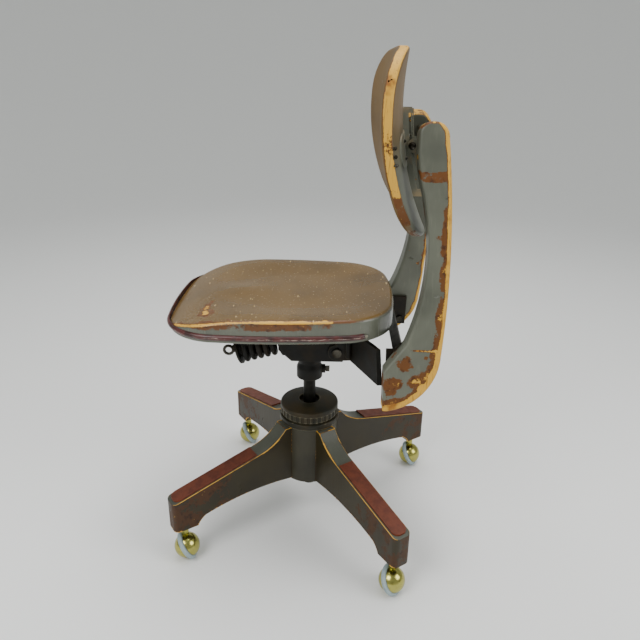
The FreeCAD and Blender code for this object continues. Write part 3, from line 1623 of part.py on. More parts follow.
def make_frame_bolts():
    bolts = []
    face = "0 - carrier_pad_thickness - 0.3"
    run, high = "carrier_pad_thickness + 1 + frame_bolt_depth", "frame_bolt_head_height"
    for side, sign in SIDES:
        for index, spot in enumerate(frame_bolt_places()):
            tag = "%s_%d" % (side, index)
            shank = frame_rod("frame_shank_" + tag, sign, *spot, "frame_bolt_radius", face + " - 1", run)
            start = face + " - frame_bolt_head_height"
            head = frame_rod("frame_head_" + tag, sign, *spot, "frame_bolt_head_radius", start, high)
            bolts.append(fuse("frame_bolt_" + tag, [shank, head]))
    group("frame_bolts", bolts)


def make_cross_strap():
    """A flat steel bar across the sloping fronts of the two foot blocks."""
    run = "(upright_waist_start_rear - upright_front)"
    rise = "(upright_waist_start - upright_block_top)"
    slope = "sqrt(%s * %s + %s * %s)" % (run, run, rise, rise)
    way_y, way_z = "%s / %s" % (run, slope), "%s / %s" % (rise, slope)
    lean = "cos(upright_lean * 1deg)"
    lift = "0.4"
    top = lift + " + cross_strap_thickness"
    corners = []
    for along, out in (("0", lift), ("cross_strap_width", lift), ("cross_strap_width", top), ("0", top)):
        distance = "(cross_strap_start + %s)" % along
        y_text = "upright_front + %s * %s - (%s) * %s" % (distance, way_y, out, way_z)
        along_upright = "(upright_block_top + %s * %s + (%s) * %s)" % (distance, way_z, out, way_y)
        z_text = "upright_base + %s * %s" % (along_upright, lean)
        corners.append((y_text, z_text))
    length = "2 * (upright_foot_spread - 8 - (carrier_top - upright_base) * tan(upright_lean * 1deg))"
    strap = extrude("cross_strap_bar", "YZ", [corners], length)
    piece(strap, "cross_strap")


def make_back_frame():
    for side, sign in SIDES:
        make_upright(side, sign)
    make_yoke()
    make_carrier()
    make_frame_bolts()
    make_cross_strap()


# Backrest and its pivot

def make_bracket():
    """A folded steel bracket with two ears that hold the pivot bolt."""
    front, rear = "bolt_rear - bracket_ear_front", "bracket_rear"
    low, high = "bolt_height - bracket_ear_half", "bolt_height + bracket_ear_half"
    neck = "bolt_rear + 26"
    ear = [
        (front, low),
        (neck, low),
        (rear, "bolt_height - bracket_web_half"),
        (rear, "bolt_height + bracket_web_half"),
        (neck, high),
        (front + " + bracket_chamfer", high),
        (front, high + " - bracket_chamfer"),
    ]
    blank = extrude("bracket_blank", "YZ", [ear], "2 * bracket_half")
    middle = block(
        "bracket_middle", "bracket_inside", "%s - bracket_thickness - (%s) + 20" % (rear, front),
        "2 * bracket_web_half + 2",
        ("0 - bracket_inside / 2", "%s - 20" % front, "bolt_height - bracket_web_half - 1"),
    )
    hole = crosswise(
        "bracket_hole", "bolt_radius + joint_gap", "2 * bracket_half + 2", "0 - bracket_half - 1",
        "bolt_rear", "bolt_height")
    bore, start = "bracket_bolt_radius + joint_gap", "bracket_rear - 10"
    screws = [
        rearward("bracket_screw_hole_%d" % index, bore, "20", start, level)
        for index, level in bracket_levels()
    ]
    piece(cut("bracket_fold", blank, [middle, hole] + screws), "backrest_bracket")


def bracket_levels():
    """Heights of the two bolts of the bracket."""
    return list(enumerate(("bolt_height - bracket_bolt_shift", "bolt_height + bracket_bolt_shift")))


def make_bracket_bolts():
    bolts = []
    wide = "bracket_bolt_head_radius"
    face = "bracket_rear - bracket_thickness - 0.2"
    rear = "yoke_front + yoke_thickness + 0.3"
    for index, height in bracket_levels():
        start = face + " - bracket_bolt_head_height"
        head = rearward("bracket_head_%d" % index, wide, "bracket_bolt_head_height", start, height)
        run = "%s + 0.1 - (%s - 0.3)" % (rear, face)
        shank = rearward("bracket_shank_%d" % index, "bracket_bolt_radius", run, face + " - 0.3", height)
        nut = rearward("bracket_nut_%d" % index, wide, "bracket_nut_height", rear, height)
        bolts.append(fuse("bracket_bolt_%d" % index, [head, shank, nut]))
    group("bracket_bolts", bolts)


def drill_yoke():
    """Clears the two bracket bolts through the crosspiece."""
    yoke = PIECES.pop([item.Label for item in PIECES].index("crosspiece"))
    yoke.Label = "crosspiece_blank"
    bore, run = "bracket_bolt_radius + joint_gap", "yoke_thickness + 40"
    tools = [
        rearward("yoke_hole_%d" % index, bore, run, "yoke_front - 20", level)
        for index, level in bracket_levels()
    ]
    piece(cut("yoke_drilled", yoke, tools), "crosspiece")


def make_pivot_bolt():
    bolt = body("pivot_bolt")
    seat, end = "bracket_half + 0.2", "0 - bracket_half - nut_height - 4"
    crown = "(bolt_head_radius ^ 2 + bolt_head_height ^ 2) / 2 / bolt_head_height"
    profile = [
        (end, "0"),
        (seat + " + bolt_head_height", "0", crown, 1),
        (seat, "bolt_head_radius"),
        (seat, "bolt_radius"),
        (end, "bolt_radius"),
    ]
    revolve(bolt, "pivot_bolt_turning", "XY", [profile], axis="H_Axis")
    place(bolt, ("0", "bolt_rear", "bolt_height"))
    spot = ("bolt_rear", "bolt_height")
    nut = crosswise("wing_nut_hub", "nut_radius", "nut_height", "0 - bracket_half - 0.3 - nut_height", *spot)
    wings = block(
        "wing_nut_wings", "nut_height - 1", "3", "2 * wing_span",
        ("0 - bracket_half - nut_height - 2", "bolt_rear - 1.5", "bolt_height - wing_span"),
    )
    start = "0 - bracket_half - nut_height - 10"
    bore = crosswise("wing_nut_bore", "bolt_radius + running_fit", "nut_height + 20", start, *spot)
    piece(cut("wing_nut_cut", fuse("wing_nut_solid", [nut, wings]), [bore]), "wing_nut")


def make_spacer():
    spacer = body("pivot_spacer")
    half = "rail_outside / 2 - rail_sheet - 0.2"
    inner = "bolt_radius + running_fit"
    profile = [(minus(half), inner), (half, inner), (half, "spacer_radius"), (minus(half), "spacer_radius")]
    revolve(spacer, "spacer_turning", "XY", [profile], axis="H_Axis")
    place(spacer, ("0", "bolt_rear", "bolt_height"))


def rise_centre():
    """Centre of the arc that the backrest's rear surface follows in side view."""
    way = math.radians(number("backrest_slope"))
    reach = number("backrest_rise_radius")
    rear = number("backrest_rear") + reach * math.cos(way)
    return rear, number("backrest_height") + reach * math.sin(way)


def rise_sector(radius_in, radius_out, low, high, shift=0.0):
    """A flat face between two arcs about the rise centre and two heights, in the YZ plane."""
    rear, height = rise_centre()
    rear = rear - shift

    def point(radius, level):
        return Vector(0, rear - math.sqrt(radius ** 2 - (level - height) ** 2), level)

    def arc(radius, first, last):
        middle = point(radius, (first + last) / 2)
        return Part.Arc(point(radius, first), middle, point(radius, last)).toShape()

    outer, inner = arc(radius_out, low, high), arc(radius_in, high, low)
    sides = [
        Part.makeLine(point(radius_out, high), point(radius_in, high)),
        Part.makeLine(point(radius_in, low), point(radius_out, low)),
    ]
    return Part.Face(Part.Wire([outer, sides[0], inner, sides[1]]))


def wrap_axis():
    """How far in front of the origin the vertical axis of the backrest's wrap stands."""
    return number("backrest_rear - backrest_thickness / 2 - backrest_wrap_radius")


def wrapped(face, half_angle):
    """Turns a face in the YZ plane about the wrap axis, to both sides alike."""
    axis = Vector(0, wrap_axis(), 0)
    start = face.copy()
    start.rotate(axis, Vector(0, 0, 1), -half_angle)
    return start.revolve(axis, Vector(0, 0, 1), 2 * half_angle)


def make_backrest():
    radius, thick = number("backrest_rise_radius"), number("backrest_thickness")
    middle, half_height = number("backrest_height"), number("backrest_length / 2")
    half_width = number("backrest_width / 2")
    room = half_height + 20
    sheet_face = rise_sector(radius, radius + thick, middle - room, middle + room)
    reach = math.asin(half_width / number("backrest_wrap_radius"))
    blank = wrapped(sheet_face, math.degrees(reach) + 6)
    side, crown = number("backrest_side_bulge"), number("backrest_top_bulge")
    corner_x, corner_z = half_width - side, half_height - crown

    def at(x, z):
        return Vector(x, wrap_axis(), middle + z)

    bows = [
        Part.Arc(at(corner_x, -corner_z), at(half_width, 0), at(corner_x, corner_z)).toShape(),
        Part.Arc(at(corner_x, corner_z), at(0, half_height), at(-corner_x, corner_z)).toShape(),
        Part.Arc(at(-corner_x, corner_z), at(-half_width, 0), at(-corner_x, -corner_z)).toShape(),
        Part.Arc(at(-corner_x, -corner_z), at(0, -half_height), at(corner_x, -corner_z)).toShape(),
    ]
    prism = Part.Face(Part.Wire(bows)).extrude(prism_way())
    posts = [edge for edge in prism.Edges if edge.BoundBox.YLength > half_height]
    prism = prism.makeFillet(number("backrest_corner_round"), posts)
    panel = blank.common(prism)
    panel = panel.Solids[0]
    rims = [edge for edge in panel.Edges if not short_across(edge, thick)]
    panel = panel.makeFillet(number("backrest_edge_round"), rims)
    for place_point, way in backrest_screw_places():
        hole = Part.makeCylinder(number("backrest_screw_radius") + 0.05, 9, place_point - way * 8, way)
        panel = panel.cut(hole)
    item = piece(add("Part::Feature", "backrest"), "backrest")
    item.Shape = panel


def prism_way():
    """From the wrap axis to well behind the backrest."""
    return Vector(0, 2 * number("backrest_wrap_radius"), 0)


def short_across(edge, thick):
    """Edges that run through the thickness of the panel."""
    return edge.Length < thick * 1.4


def surface_point(angle, level):
    """A point on the rear face of the backrest and the way out of it."""
    rear, height = rise_centre()
    radius = number("backrest_rise_radius")
    depth = math.sqrt(radius ** 2 - (level - height) ** 2)
    axis = wrap_axis()
    reach = rear - depth - axis
    turn = math.radians(angle)
    point = Vector(reach * math.sin(turn), axis + reach * math.cos(turn), level)
    flat, up = depth / radius, (height - level) / radius
    way = Vector(flat * math.sin(turn), flat * math.cos(turn), up)
    return point, way.normalize()


def backrest_screw_places():
    middle = number("bolt_height")
    wing = number("rail_wing_half_angle")
    high, low = middle + number("rail_up"), middle - number("rail_down")
    spots = [(sign * wing * 0.82, middle + shift) for sign in (-1, 1) for shift in (-13, 0, 13)]
    spots += [(sign * wing * 0.38, middle + shift) for sign in (-1, 1) for shift in (-14, 14)]
    spots += [(0, high - 6), (0, low + 6)]
    return [surface_point(angle, level) for angle, level in spots]


def wing_outline(middle, half):
    """A prism along the chair with the round-ended outline of the wings."""
    reach = number("rail_wing_half_width") - half

    def at(x, z):
        return Vector(x, wrap_axis(), middle + z)

    outline = [
        Part.makeLine(at(-reach, -half), at(reach, -half)),
        Part.Arc(at(reach, -half), at(reach + half, 0), at(reach, half)).toShape(),
        Part.makeLine(at(reach, half), at(-reach, half)),
        Part.Arc(at(-reach, half), at(-reach - half, 0), at(-reach, -half)).toShape(),
    ]
    return Part.Face(Part.Wire(outline)).extrude(prism_way())


def make_rail():
    """A channel that follows the back of the panel, slotted for the bolt, with two side wings."""
    radius = number("backrest_rise_radius") - 0.15
    middle = number("bolt_height")
    high, low = middle + number("rail_up"), middle - number("rail_down")
    sheet_depth, depth = number("rail_sheet"), number("rail_depth")
    half = number("rail_outside / 2")
    outside = rise_sector(radius - depth, radius, low, high)
    outside.translate(Vector(-half, 0, 0))
    channel = outside.extrude(Vector(2 * half, 0, 0))
    hollow = rise_sector(radius - depth - 5, radius - sheet_depth, low - 5, high + 5)
    hollow.translate(Vector(-half + sheet_depth, 0, 0))
    channel = channel.cut(hollow.extrude(Vector(2 * (half - sheet_depth), 0, 0)))
    rear, height = rise_centre()
    bolt = Vector(0, number("bolt_rear") - rear, middle - height).Length
    room = number("bolt_radius") + 0.25
    end = number("rail_slot_end")
    slot = rise_sector(bolt - room, bolt + room, low + end, high - end)
    slot.translate(Vector(-50, 0, 0))
    channel = channel.cut(slot.extrude(Vector(100, 0, 0)))
    wing_half = number("rail_wing_half_height")
    wing = rise_sector(radius - number("rail_wing_sheet"), radius, middle - wing_half, middle + wing_half)
    wings = wrapped(wing, number("rail_wing_half_angle") + 3)
    wings = wings.common(wing_outline(middle, wing_half)).Solids[0]
    gap = rise_sector(radius - 8, radius + 8, middle - wing_half - 5, middle + wing_half + 5)
    inner = half - sheet_depth
    gap.translate(Vector(-inner, 0, 0))
    wings = wings.cut(gap.extrude(Vector(2 * inner, 0, 0)))
    rail = channel.fuse(wings).removeSplitter()
    for point, way in backrest_screw_places():
        rail = rail.cut(Part.makeCylinder(number("backrest_screw_radius") + 0.2, 12, point - way * 3, way))
    item = piece(add("Part::Feature", "backrest_rail"), "backrest_rail")
    item.Shape = rail


def make_backrest_screws():
    screws = []
    for point, way in backrest_screw_places():
        thick = number("rail_sheet") if abs(point.x) < 5 else number("rail_wing_sheet")
        seat = point + way * (thick + 0.25)
        head = Part.makeSphere(3.4, seat, way, 0, 90, 360)
        run = thick + number("backrest_screw_depth")
        shank = Part.makeCylinder(number("backrest_screw_radius"), run, seat + way * 0.2, way * -1)
        screws.append(head.fuse(shank).removeSplitter())
    item = piece(add("Part::Feature", "backrest_screws"), "backrest_screws")
    item.Shape = Part.makeCompound(screws)


def make_back_support():
    make_bracket()
    make_bracket_bolts()
    drill_yoke()
    make_pivot_bolt()
    make_spacer()
    make_backrest()
    make_rail()
    make_backrest_screws()


def check_document():
    doc.recompute()
    for item in doc.Objects:
        if any(word in item.State for word in ("Invalid", "Error")):
            raise RuntimeError("failed object: %s %s" % (item.Name, item.State))
    for item in PIECES:
        if item.Shape.isNull() or not item.Shape.isValid() or not item.Shape.Solids:
            raise RuntimeError("bad shape: " + item.Label)


def write_parts():
    os.makedirs("parts", exist_ok=True)
    for item in PIECES:
        item.Shape.exportStep("parts/%s.step" % item.Label)
    print("%d pieces written" % len(PIECES))


make_base()
make_casters()
make_lift()
make_seat_frame()
make_tension()
make_back_frame()
make_back_support()
check_document()
write_parts()
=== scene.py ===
import json
import math

import bmesh
import bpy
from bpy.props import FloatProperty, FloatVectorProperty, IntProperty, PointerProperty
from mathutils import Matrix, Vector
from mathutils.kdtree import KDTree


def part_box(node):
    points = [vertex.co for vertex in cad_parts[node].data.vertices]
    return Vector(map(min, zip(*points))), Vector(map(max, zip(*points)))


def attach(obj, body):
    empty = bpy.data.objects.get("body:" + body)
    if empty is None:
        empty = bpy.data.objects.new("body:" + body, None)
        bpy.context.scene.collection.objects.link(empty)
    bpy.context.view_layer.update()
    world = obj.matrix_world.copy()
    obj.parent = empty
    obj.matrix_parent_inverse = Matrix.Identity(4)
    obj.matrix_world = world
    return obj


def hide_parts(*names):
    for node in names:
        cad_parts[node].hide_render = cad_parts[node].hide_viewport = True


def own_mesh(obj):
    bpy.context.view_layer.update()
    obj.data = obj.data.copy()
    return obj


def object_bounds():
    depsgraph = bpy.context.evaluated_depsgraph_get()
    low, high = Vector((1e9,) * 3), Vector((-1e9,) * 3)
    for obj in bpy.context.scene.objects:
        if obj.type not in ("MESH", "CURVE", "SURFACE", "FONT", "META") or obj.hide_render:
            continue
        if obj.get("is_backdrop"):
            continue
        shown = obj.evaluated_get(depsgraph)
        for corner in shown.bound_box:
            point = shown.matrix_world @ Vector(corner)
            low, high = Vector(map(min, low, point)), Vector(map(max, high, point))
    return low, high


bl_info = {
    "name": "Wooden Swivel Chair",
    "version": (1, 0, 0),
    "blender": (4, 5, 0),
    "location": "3D View > Sidebar > Chair",
    "description": "Dresses the frame of a painted wooden swivel chair",
    "category": "Object",
}

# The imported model. Everything is in metres, +Z up, the chair faces -Y.
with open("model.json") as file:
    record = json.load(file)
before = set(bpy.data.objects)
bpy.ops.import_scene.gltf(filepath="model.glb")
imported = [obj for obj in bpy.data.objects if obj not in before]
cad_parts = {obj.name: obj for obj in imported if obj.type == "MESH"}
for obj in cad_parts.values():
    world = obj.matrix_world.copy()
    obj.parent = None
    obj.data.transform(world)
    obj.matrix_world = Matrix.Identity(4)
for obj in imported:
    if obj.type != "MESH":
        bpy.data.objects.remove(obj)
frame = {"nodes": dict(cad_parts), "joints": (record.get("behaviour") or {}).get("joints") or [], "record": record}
CAD_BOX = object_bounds()
NODES = frame["nodes"]
BODIES = frame["record"]["behaviour"]["bodies"]
BODY_OF = {node: body for body, nodes in BODIES.items() for node in nodes}
MM = 1000  # millimetres in a metre
LEGS = ("front_left", "rear_left", "rear_right", "front_right")

# Marks on the uprights and the backrest, in metres from the top or the foot of the piece
CROWN_DROP = (0.0155, 0.0355)
BAND_DROP = 0.0835
MOTTLE_DROP = (0.1005, 0.1355)
HEEL_RISE = (0.05, 0.15)
RUB_RISE = 0.1167
STAIN_RISE = (0.064, 0.124)
HANDLED_DROP = 0.144
BROWN_RISE = (0.104, 0.224)


def linear(code):
    """An sRGB hex colour as linear RGBA."""
    levels = [int(code[at:at + 2], 16) / 255 for at in (0, 2, 4)]
    return [v / 12.92 if v <= 0.04045 else ((v + 0.055) / 1.055) ** 2.4 for v in levels] + [1.0]


def shaded(tint, *levels):
    """A tint whose red, green and blue are each turned down or up."""
    return [value * level for value, level in zip(tint, levels)] + [1]


def colour(name, code, words):
    """A colour property with an sRGB default."""
    return FloatVectorProperty(
        name=name, description=words, subtype="COLOR", size=4, min=0, max=1, default=linear(code))


class PaintSettings(bpy.types.PropertyGroup):
    """Finishes of the wood and the iron."""

    green: colour("Grey-green paint", "5f6155", "Topcoat on the uprights and the seat's edge")
    # Olive of the legs' sides and the column, darker than the real paint: it carries painted shade from below
    olive_with_painted_shade: colour("Olive paint", "2b240f", "Older topcoat on the legs")
    brown: colour("Brown paint", "68502a", "Worn brown coat on the top of the seat")
    undercoat: colour("Undercoat", "5f370f", "Orange-brown shellac that shows where the paint is gone")
    wood: colour("Bare wood", "c99a38", "Birch laid bare on the edges")
    iron: colour("Black iron", "0d0c08", "Japanned castings under the seat")
    pad: colour("Leg pad fibre", "5f270c", "Vulcanised fibre on the legs")
    strip: colour("Edging", "4b1d1a", "Maroon edging round the front of the seat")
    brass: colour("Brass plate", "aba65a", "Plated shells of the casters")
    tyre: colour("Tyre", "93a3a6", "Grey rubber of the casters")


class SizeSettings(bpy.types.PropertyGroup):
    """Sizes of what the scene adds to the frame."""

    mesh_step: FloatProperty(
        name="Mesh step", description="Longest edge of a dressed piece", default=0.006, unit="LENGTH")
    crease: FloatProperty(
        name="Crease angle", description="Faces that meet more sharply than this have an edge",
        default=math.radians(28), subtype="ANGLE")
    dish: FloatProperty(
        name="Seat dish", description="Depth of the hollow in the top of the seat",
        default=0.006, unit="LENGTH")
    cup: FloatProperty(
        name="Backrest cup", description="How far the sides of the backrest come forward",
        default=0.011, unit="LENGTH")
    coil_radius: FloatProperty(
        name="Spring radius", description="From the spring's axis to the middle of its wire",
        default=0.0265, unit="LENGTH")
    coil_wire: FloatProperty(
        name="Spring wire", description="Radius of the spring's wire", default=0.0055, unit="LENGTH")
    coil_turns: FloatProperty(name="Spring turns", description="Turns of the spring", default=5.0)
    coil_sides: IntProperty(name="Wire sides", description="Sides of the spring's wire", default=20)


# Materials

# The paint gives way to undercoat, and that to bare wood, as the wear rises
UNDERCOAT_SHOWS = (0.46, 0.52)
WOOD_SHOWS = (0.68, 0.74)


def add_node(tree, kind, at=(0, 0), settings=None, inputs=None):
    """Adds one shader node; an input is a value, or a socket to link from."""
    node = tree.nodes.new(kind)
    node.location = at
    for key, value in (settings or {}).items():
        setattr(node, key, value)
    for key, value in (inputs or {}).items():
        if isinstance(value, bpy.types.NodeSocket):
            tree.links.new(value, node.inputs[key])
        else:
            node.inputs[key].default_value = value
    return node


def new_material(name, **fixed):
    """A material with its shader; fixed values go on the shader's own sockets."""
    material = bpy.data.materials.new(name)
    material.use_nodes = True
    tree = material.node_tree
    shader = tree.nodes["Principled BSDF"]
    for key, value in fixed.items():
        shader.inputs[key.replace("_", " ")].default_value = value
    return material, tree, shader


def object_noise(tree, size_mm, stretch=(1, 1, 1), detail=3.0, rough=0.55, distortion=0.0):
    """Noise on Object coordinates whose spots are about size_mm across."""
    place = add_node(tree, "ShaderNodeTexCoord")
    mapping = add_node(tree, "ShaderNodeMapping", inputs={
        "Vector": place.outputs["Object"], "Scale": stretch})
    grain = add_node(tree, "ShaderNodeTexNoise", inputs={
        "Vector": mapping.outputs["Vector"], "Scale": MM / size_mm / 2, "Detail": detail,
        "Roughness": rough, "Distortion": distortion})
    return grain.outputs["Fac"]


def math_node(tree, operation, first, second=0.0, third=0.0):
    """The result of a Math node; only MULTIPLY_ADD uses the third value."""
    node = add_node(
        tree, "ShaderNodeMath", settings={"operation": operation}, inputs={0: first, 1: second})
    if operation == "MULTIPLY_ADD":
        node.inputs[2].default_value = third
    return node.outputs[0]


def step_between(tree, value, low, high):
    """Rises from 0 at low to 1 at high."""
    node = add_node(tree, "ShaderNodeMapRange", settings={"interpolation_type": "SMOOTHSTEP"}, inputs={
        "Value": value, "From Min": low, "From Max": high})
    return node.outputs["Result"]


def mix_colour(tree, factor, first, second, blend="MIX"):
    """The first colour, blended with the second by a factor."""
    node = add_node(tree, "ShaderNodeMix", settings={"data_type": "RGBA", "blend_type": blend})
    for socket, value in ((0, factor), (6, first), (7, second)):
        if isinstance(value, bpy.types.NodeSocket):
            tree.links.new(value, node.inputs[socket])
        else:
            node.inputs[socket].default_value = value
    return node.outputs[2]


def attribute(tree, name):
    """The value that paint_layers wrote on the vertices."""
    return add_node(tree, "ShaderNodeAttribute", settings={"attribute_name": name}).outputs["Fac"]


def bump(tree, shader, height, distance_mm, strength=1.0):
    """Small relief under a millimetre deep."""
    node = add_node(tree, "ShaderNodeBump", inputs={
        "Height": height, "Distance": distance_mm / MM, "Strength": strength})
    tree.links.new(node.outputs["Normal"], shader.inputs["Normal"])


def roughen(tree, shader, pattern, reach, least):
    """Roughness that rises by as much as reach where the pattern is strongest."""
    dull = math_node(tree, "MULTIPLY_ADD", pattern, reach, least)
    tree.links.new(dull, shader.inputs["Roughness"])


def cover(tree, value, low, high, share, base, over):
    """Lays a colour over the base where a value passes from low to high."""
    mask = math_node(tree, "MULTIPLY", step_between(tree, value, low, high), share)
    return mix_colour(tree, mask, base, over)


def rubbed(tree, pattern, reach):
    """The painted-on wear, made uneven by a pattern."""
    uneven = math_node(tree, "MULTIPLY_ADD", pattern, reach, -reach / 2)
    return math_node(tree, "ADD", attribute(tree, "wear"), uneven)


def worn_signal(tree, fine_mm=2.2, broad_mm=16, amount=0.75):
    """The painted-on wear of a piece, broken up by chips of two sizes."""
    fine = object_noise(tree, fine_mm, detail=4, rough=0.7)
    broad = object_noise(tree, broad_mm, detail=2)
    chips = math_node(tree, "MULTIPLY_ADD", fine, amount * 0.55, -amount * 0.275)
    patches = math_node(tree, "MULTIPLY_ADD", broad, amount, -amount / 2)
    total = math_node(tree, "ADD", chips, patches)
    return math_node(tree, "ADD", attribute(tree, "wear"), total)


def wood_grain(tree, wood, stretch=(1, 1, 0.06)):
    """Pale timber with darker, long grain lines about 1.5 mm apart."""
    lines = object_noise(tree, 1.5, stretch=stretch, detail=5, rough=0.6, distortion=0.3)
    stains = object_noise(tree, 22, detail=3)
    dark = shaded(wood, 0.52, 0.42, 0.3)
    grained = mix_colour(tree, step_between(tree, lines, 0.5, 0.75), wood, dark)
    brown = shaded(wood, 0.42, 0.27, 0.16)
    return mix_colour(tree, step_between(tree, stains, 0.58, 0.74), grained, brown)


def painted_wood(name, top_paint, side_paint, paint, rough=0.42, grime=0.35, stretch=(1, 1, 0.06),
                 under_tint=None, gloss_level=0.35):
    """Brushed enamel over shellacked birch: satin, chipped to orange undercoat and bare wood."""
    material, tree, shader = new_material(name, IOR=1.5, Specular_IOR_Level=gloss_level)
    signal = worn_signal(tree)
    shade = object_noise(tree, 60, detail=3)
    brushed = object_noise(tree, 2.5, stretch=(1, 1, 0.1), detail=3)
    coat = mix_colour(tree, attribute(tree, "tone"), side_paint, top_paint)
    dark = mix_colour(tree, 1.0, coat, (1 - grime, 1 - grime, 1 - grime, 1), "MULTIPLY")
    coat = mix_colour(tree, step_between(tree, shade, 0.35, 0.7), coat, dark)
    light = mix_colour(tree, 1.0, coat, (1.18, 1.18, 1.16, 1), "MULTIPLY")
    coat = mix_colour(tree, step_between(tree, brushed, 0.5, 0.8), coat, light)
    first = list(under_tint or paint.undercoat)
    soot = shaded(first, 0.4, 0.36, 0.34)
    rust_spots = object_noise(tree, 5, detail=4)
    under = mix_colour(tree, step_between(tree, rust_spots, 0.5, 0.72), first, soot)
    bare = wood_grain(tree, list(paint.wood), stretch)
    under_mask = step_between(tree, signal, *UNDERCOAT_SHOWS)
    bare_mask = step_between(tree, signal, *WOOD_SHOWS)
    worn = mix_colour(tree, under_mask, coat, under)
    final = mix_colour(tree, bare_mask, worn, bare)
    tree.links.new(final, shader.inputs["Base Color"])
    dull = math_node(tree, "MULTIPLY_ADD", under_mask, 0.16, rough)
    streaks = math_node(tree, "MULTIPLY_ADD", brushed, 0.14, -0.06)
    tree.links.new(math_node(tree, "ADD", dull, streaks), shader.inputs["Roughness"])
    lift = math_node(tree, "MULTIPLY_ADD", under_mask, -0.5, 0.5)
    for mask, height, level in ((bare_mask, -0.35, 0.35), (brushed, 0.25, 0.0)):
        lift = math_node(tree, "ADD", lift, math_node(tree, "MULTIPLY_ADD", mask, height, level))
    bump(tree, shader, lift, 0.25, 0.6)
    return material


def seat_paint(paint):
    """Brown enamel polished by sitting: soft sheen, small pale scratches, worn rim."""
    material = painted_wood(
        "scratched_seat_enamel", list(paint.brown), list(paint.green), paint, 0.24, 0.3,
        stretch=(1, 0.06, 1), gloss_level=0.5)
    tree = material.node_tree
    shader = tree.nodes["Principled BSDF"]
    base = shader.inputs["Base Color"].links[0].from_socket
    place = add_node(tree, "ShaderNodeTexCoord")
    nicks = None
    for turn, length_mm, spacing in ((0.5, 9, 24), (-0.9, 14, 34), (1.6, 7, 19)):
        mapping = add_node(tree, "ShaderNodeMapping", inputs={
            "Vector": place.outputs["Object"], "Rotation": (0, 0, turn),
            "Scale": (MM / length_mm / 3, MM / spacing * 3.2, 1)})
        cells = add_node(tree, "ShaderNodeTexVoronoi", settings={"distance": "EUCLIDEAN"}, inputs={
            "Vector": mapping.outputs["Vector"], "Scale": 0.55, "Randomness": 1.0})
        mark = step_between(tree, cells.outputs["Distance"], 0.1, 0.06)
        nicks = mark if nicks is None else math_node(tree, "MAXIMUM", nicks, mark)
    keep = step_between(tree, object_noise(tree, 30, detail=1), 0.44, 0.54)
    nicks = math_node(tree, "MULTIPLY", nicks, keep)
    nicks = math_node(tree, "MULTIPLY", nicks, attribute(tree, "tone"))
    final = mix_colour(tree, math_node(tree, "MULTIPLY", nicks, 0.85), base, linear("b9a070"))
    tree.links.new(final, shader.inputs["Base Color"])
    return material


def cast_iron(name, tint, rough=0.5, grit_mm=1.4, depth_mm=0.25, dust_and_edge_highlight="474233"):
    """Sand-cast iron under thick paint: lumpy, dull, with pale dust on the rubbed edges that is also a painted
    edge highlight.
    """
    material, tree, shader = new_material(name, IOR=1.5, Specular_IOR_Level=0.22)
    lumps = object_noise(tree, grit_mm, detail=4, rough=0.65)
    stains = object_noise(tree, 24, detail=4)
    brown = [tint[0] * 1.9 + 0.006, tint[1] * 1.45 + 0.003, tint[2] * 1.1, 1]
    base = mix_colour(tree, step_between(tree, stains, 0.42, 0.68), tint, brown)
    # Pale colour where the edge wear is high: dust on rubbed corners, and a painted highlight along the edges
    base = cover(tree, rubbed(tree, lumps, 0.7), 0.6, 0.95, 0.55, base, linear(dust_and_edge_highlight))
    tree.links.new(base, shader.inputs["Base Color"])
    roughen(tree, shader, stains, 0.3, rough - 0.12)
    bump(tree, shader, lumps, depth_mm, 0.5)
    return material


def steel(name, tint, rough=0.32, brush_mm=0.6, stretch=(1, 1, 12), metallic=1.0):
    """Bare steel with turning marks, darkened by oil in patches."""
    material, tree, shader = new_material(name, Metallic=metallic)
    marks = object_noise(tree, brush_mm, stretch=stretch, detail=3)
    oil = object_noise(tree, 14, detail=4)
    dark = shaded(tint, 0.35, 0.32, 0.28)
    base = mix_colour(tree, step_between(tree, oil, 0.42, 0.66), tint, dark)
    tree.links.new(base, shader.inputs["Base Color"])
    roughen(tree, shader, oil, 0.35, rough - 0.15)
    bump(tree, shader, marks, 0.04, 0.35)
    return material


def brass_plate(paint):
    """Electroplated brass over steel: bright, a little uneven, tarnished in spots."""
    material, tree, shader = new_material("brass_plated_shell", Metallic=1.0)
    spots = object_noise(tree, 3.5, detail=5, rough=0.65)
    haze = object_noise(tree, 12, detail=3)
    tint = list(paint.brass)
    tarnish = shaded(tint, 0.42, 0.36, 0.3)
    base = mix_colour(tree, step_between(tree, spots, 0.56, 0.72), tint, tarnish)
    tree.links.new(base, shader.inputs["Base Color"])
    roughen(tree, shader, haze, 0.28, 0.08)
    bump(tree, shader, spots, 0.05, 0.25)
    return material


def rubber(name, tint, rough=0.6, scuff="b9c2c0", amount=0.35):
    """Moulded rubber: matte, scuffed paler where it runs on the floor."""
    material, tree, shader = new_material(name, IOR=1.52)
    scuffs = object_noise(tree, 4, detail=5, rough=0.7)
    dirt = object_noise(tree, 11, detail=3)
    base = cover(tree, scuffs, 0.5, 0.72, amount, tint, linear(scuff))
    grime = shaded(tint, 0.5, 0.48, 0.45)
    base = cover(tree, dirt, 0.5, 0.72, 0.7, base, grime)
    tree.links.new(base, shader.inputs["Base Color"])
    roughen(tree, shader, dirt, 0.2, rough - 0.1)
    bump(tree, shader, scuffs, 0.08, 0.4)
    return material


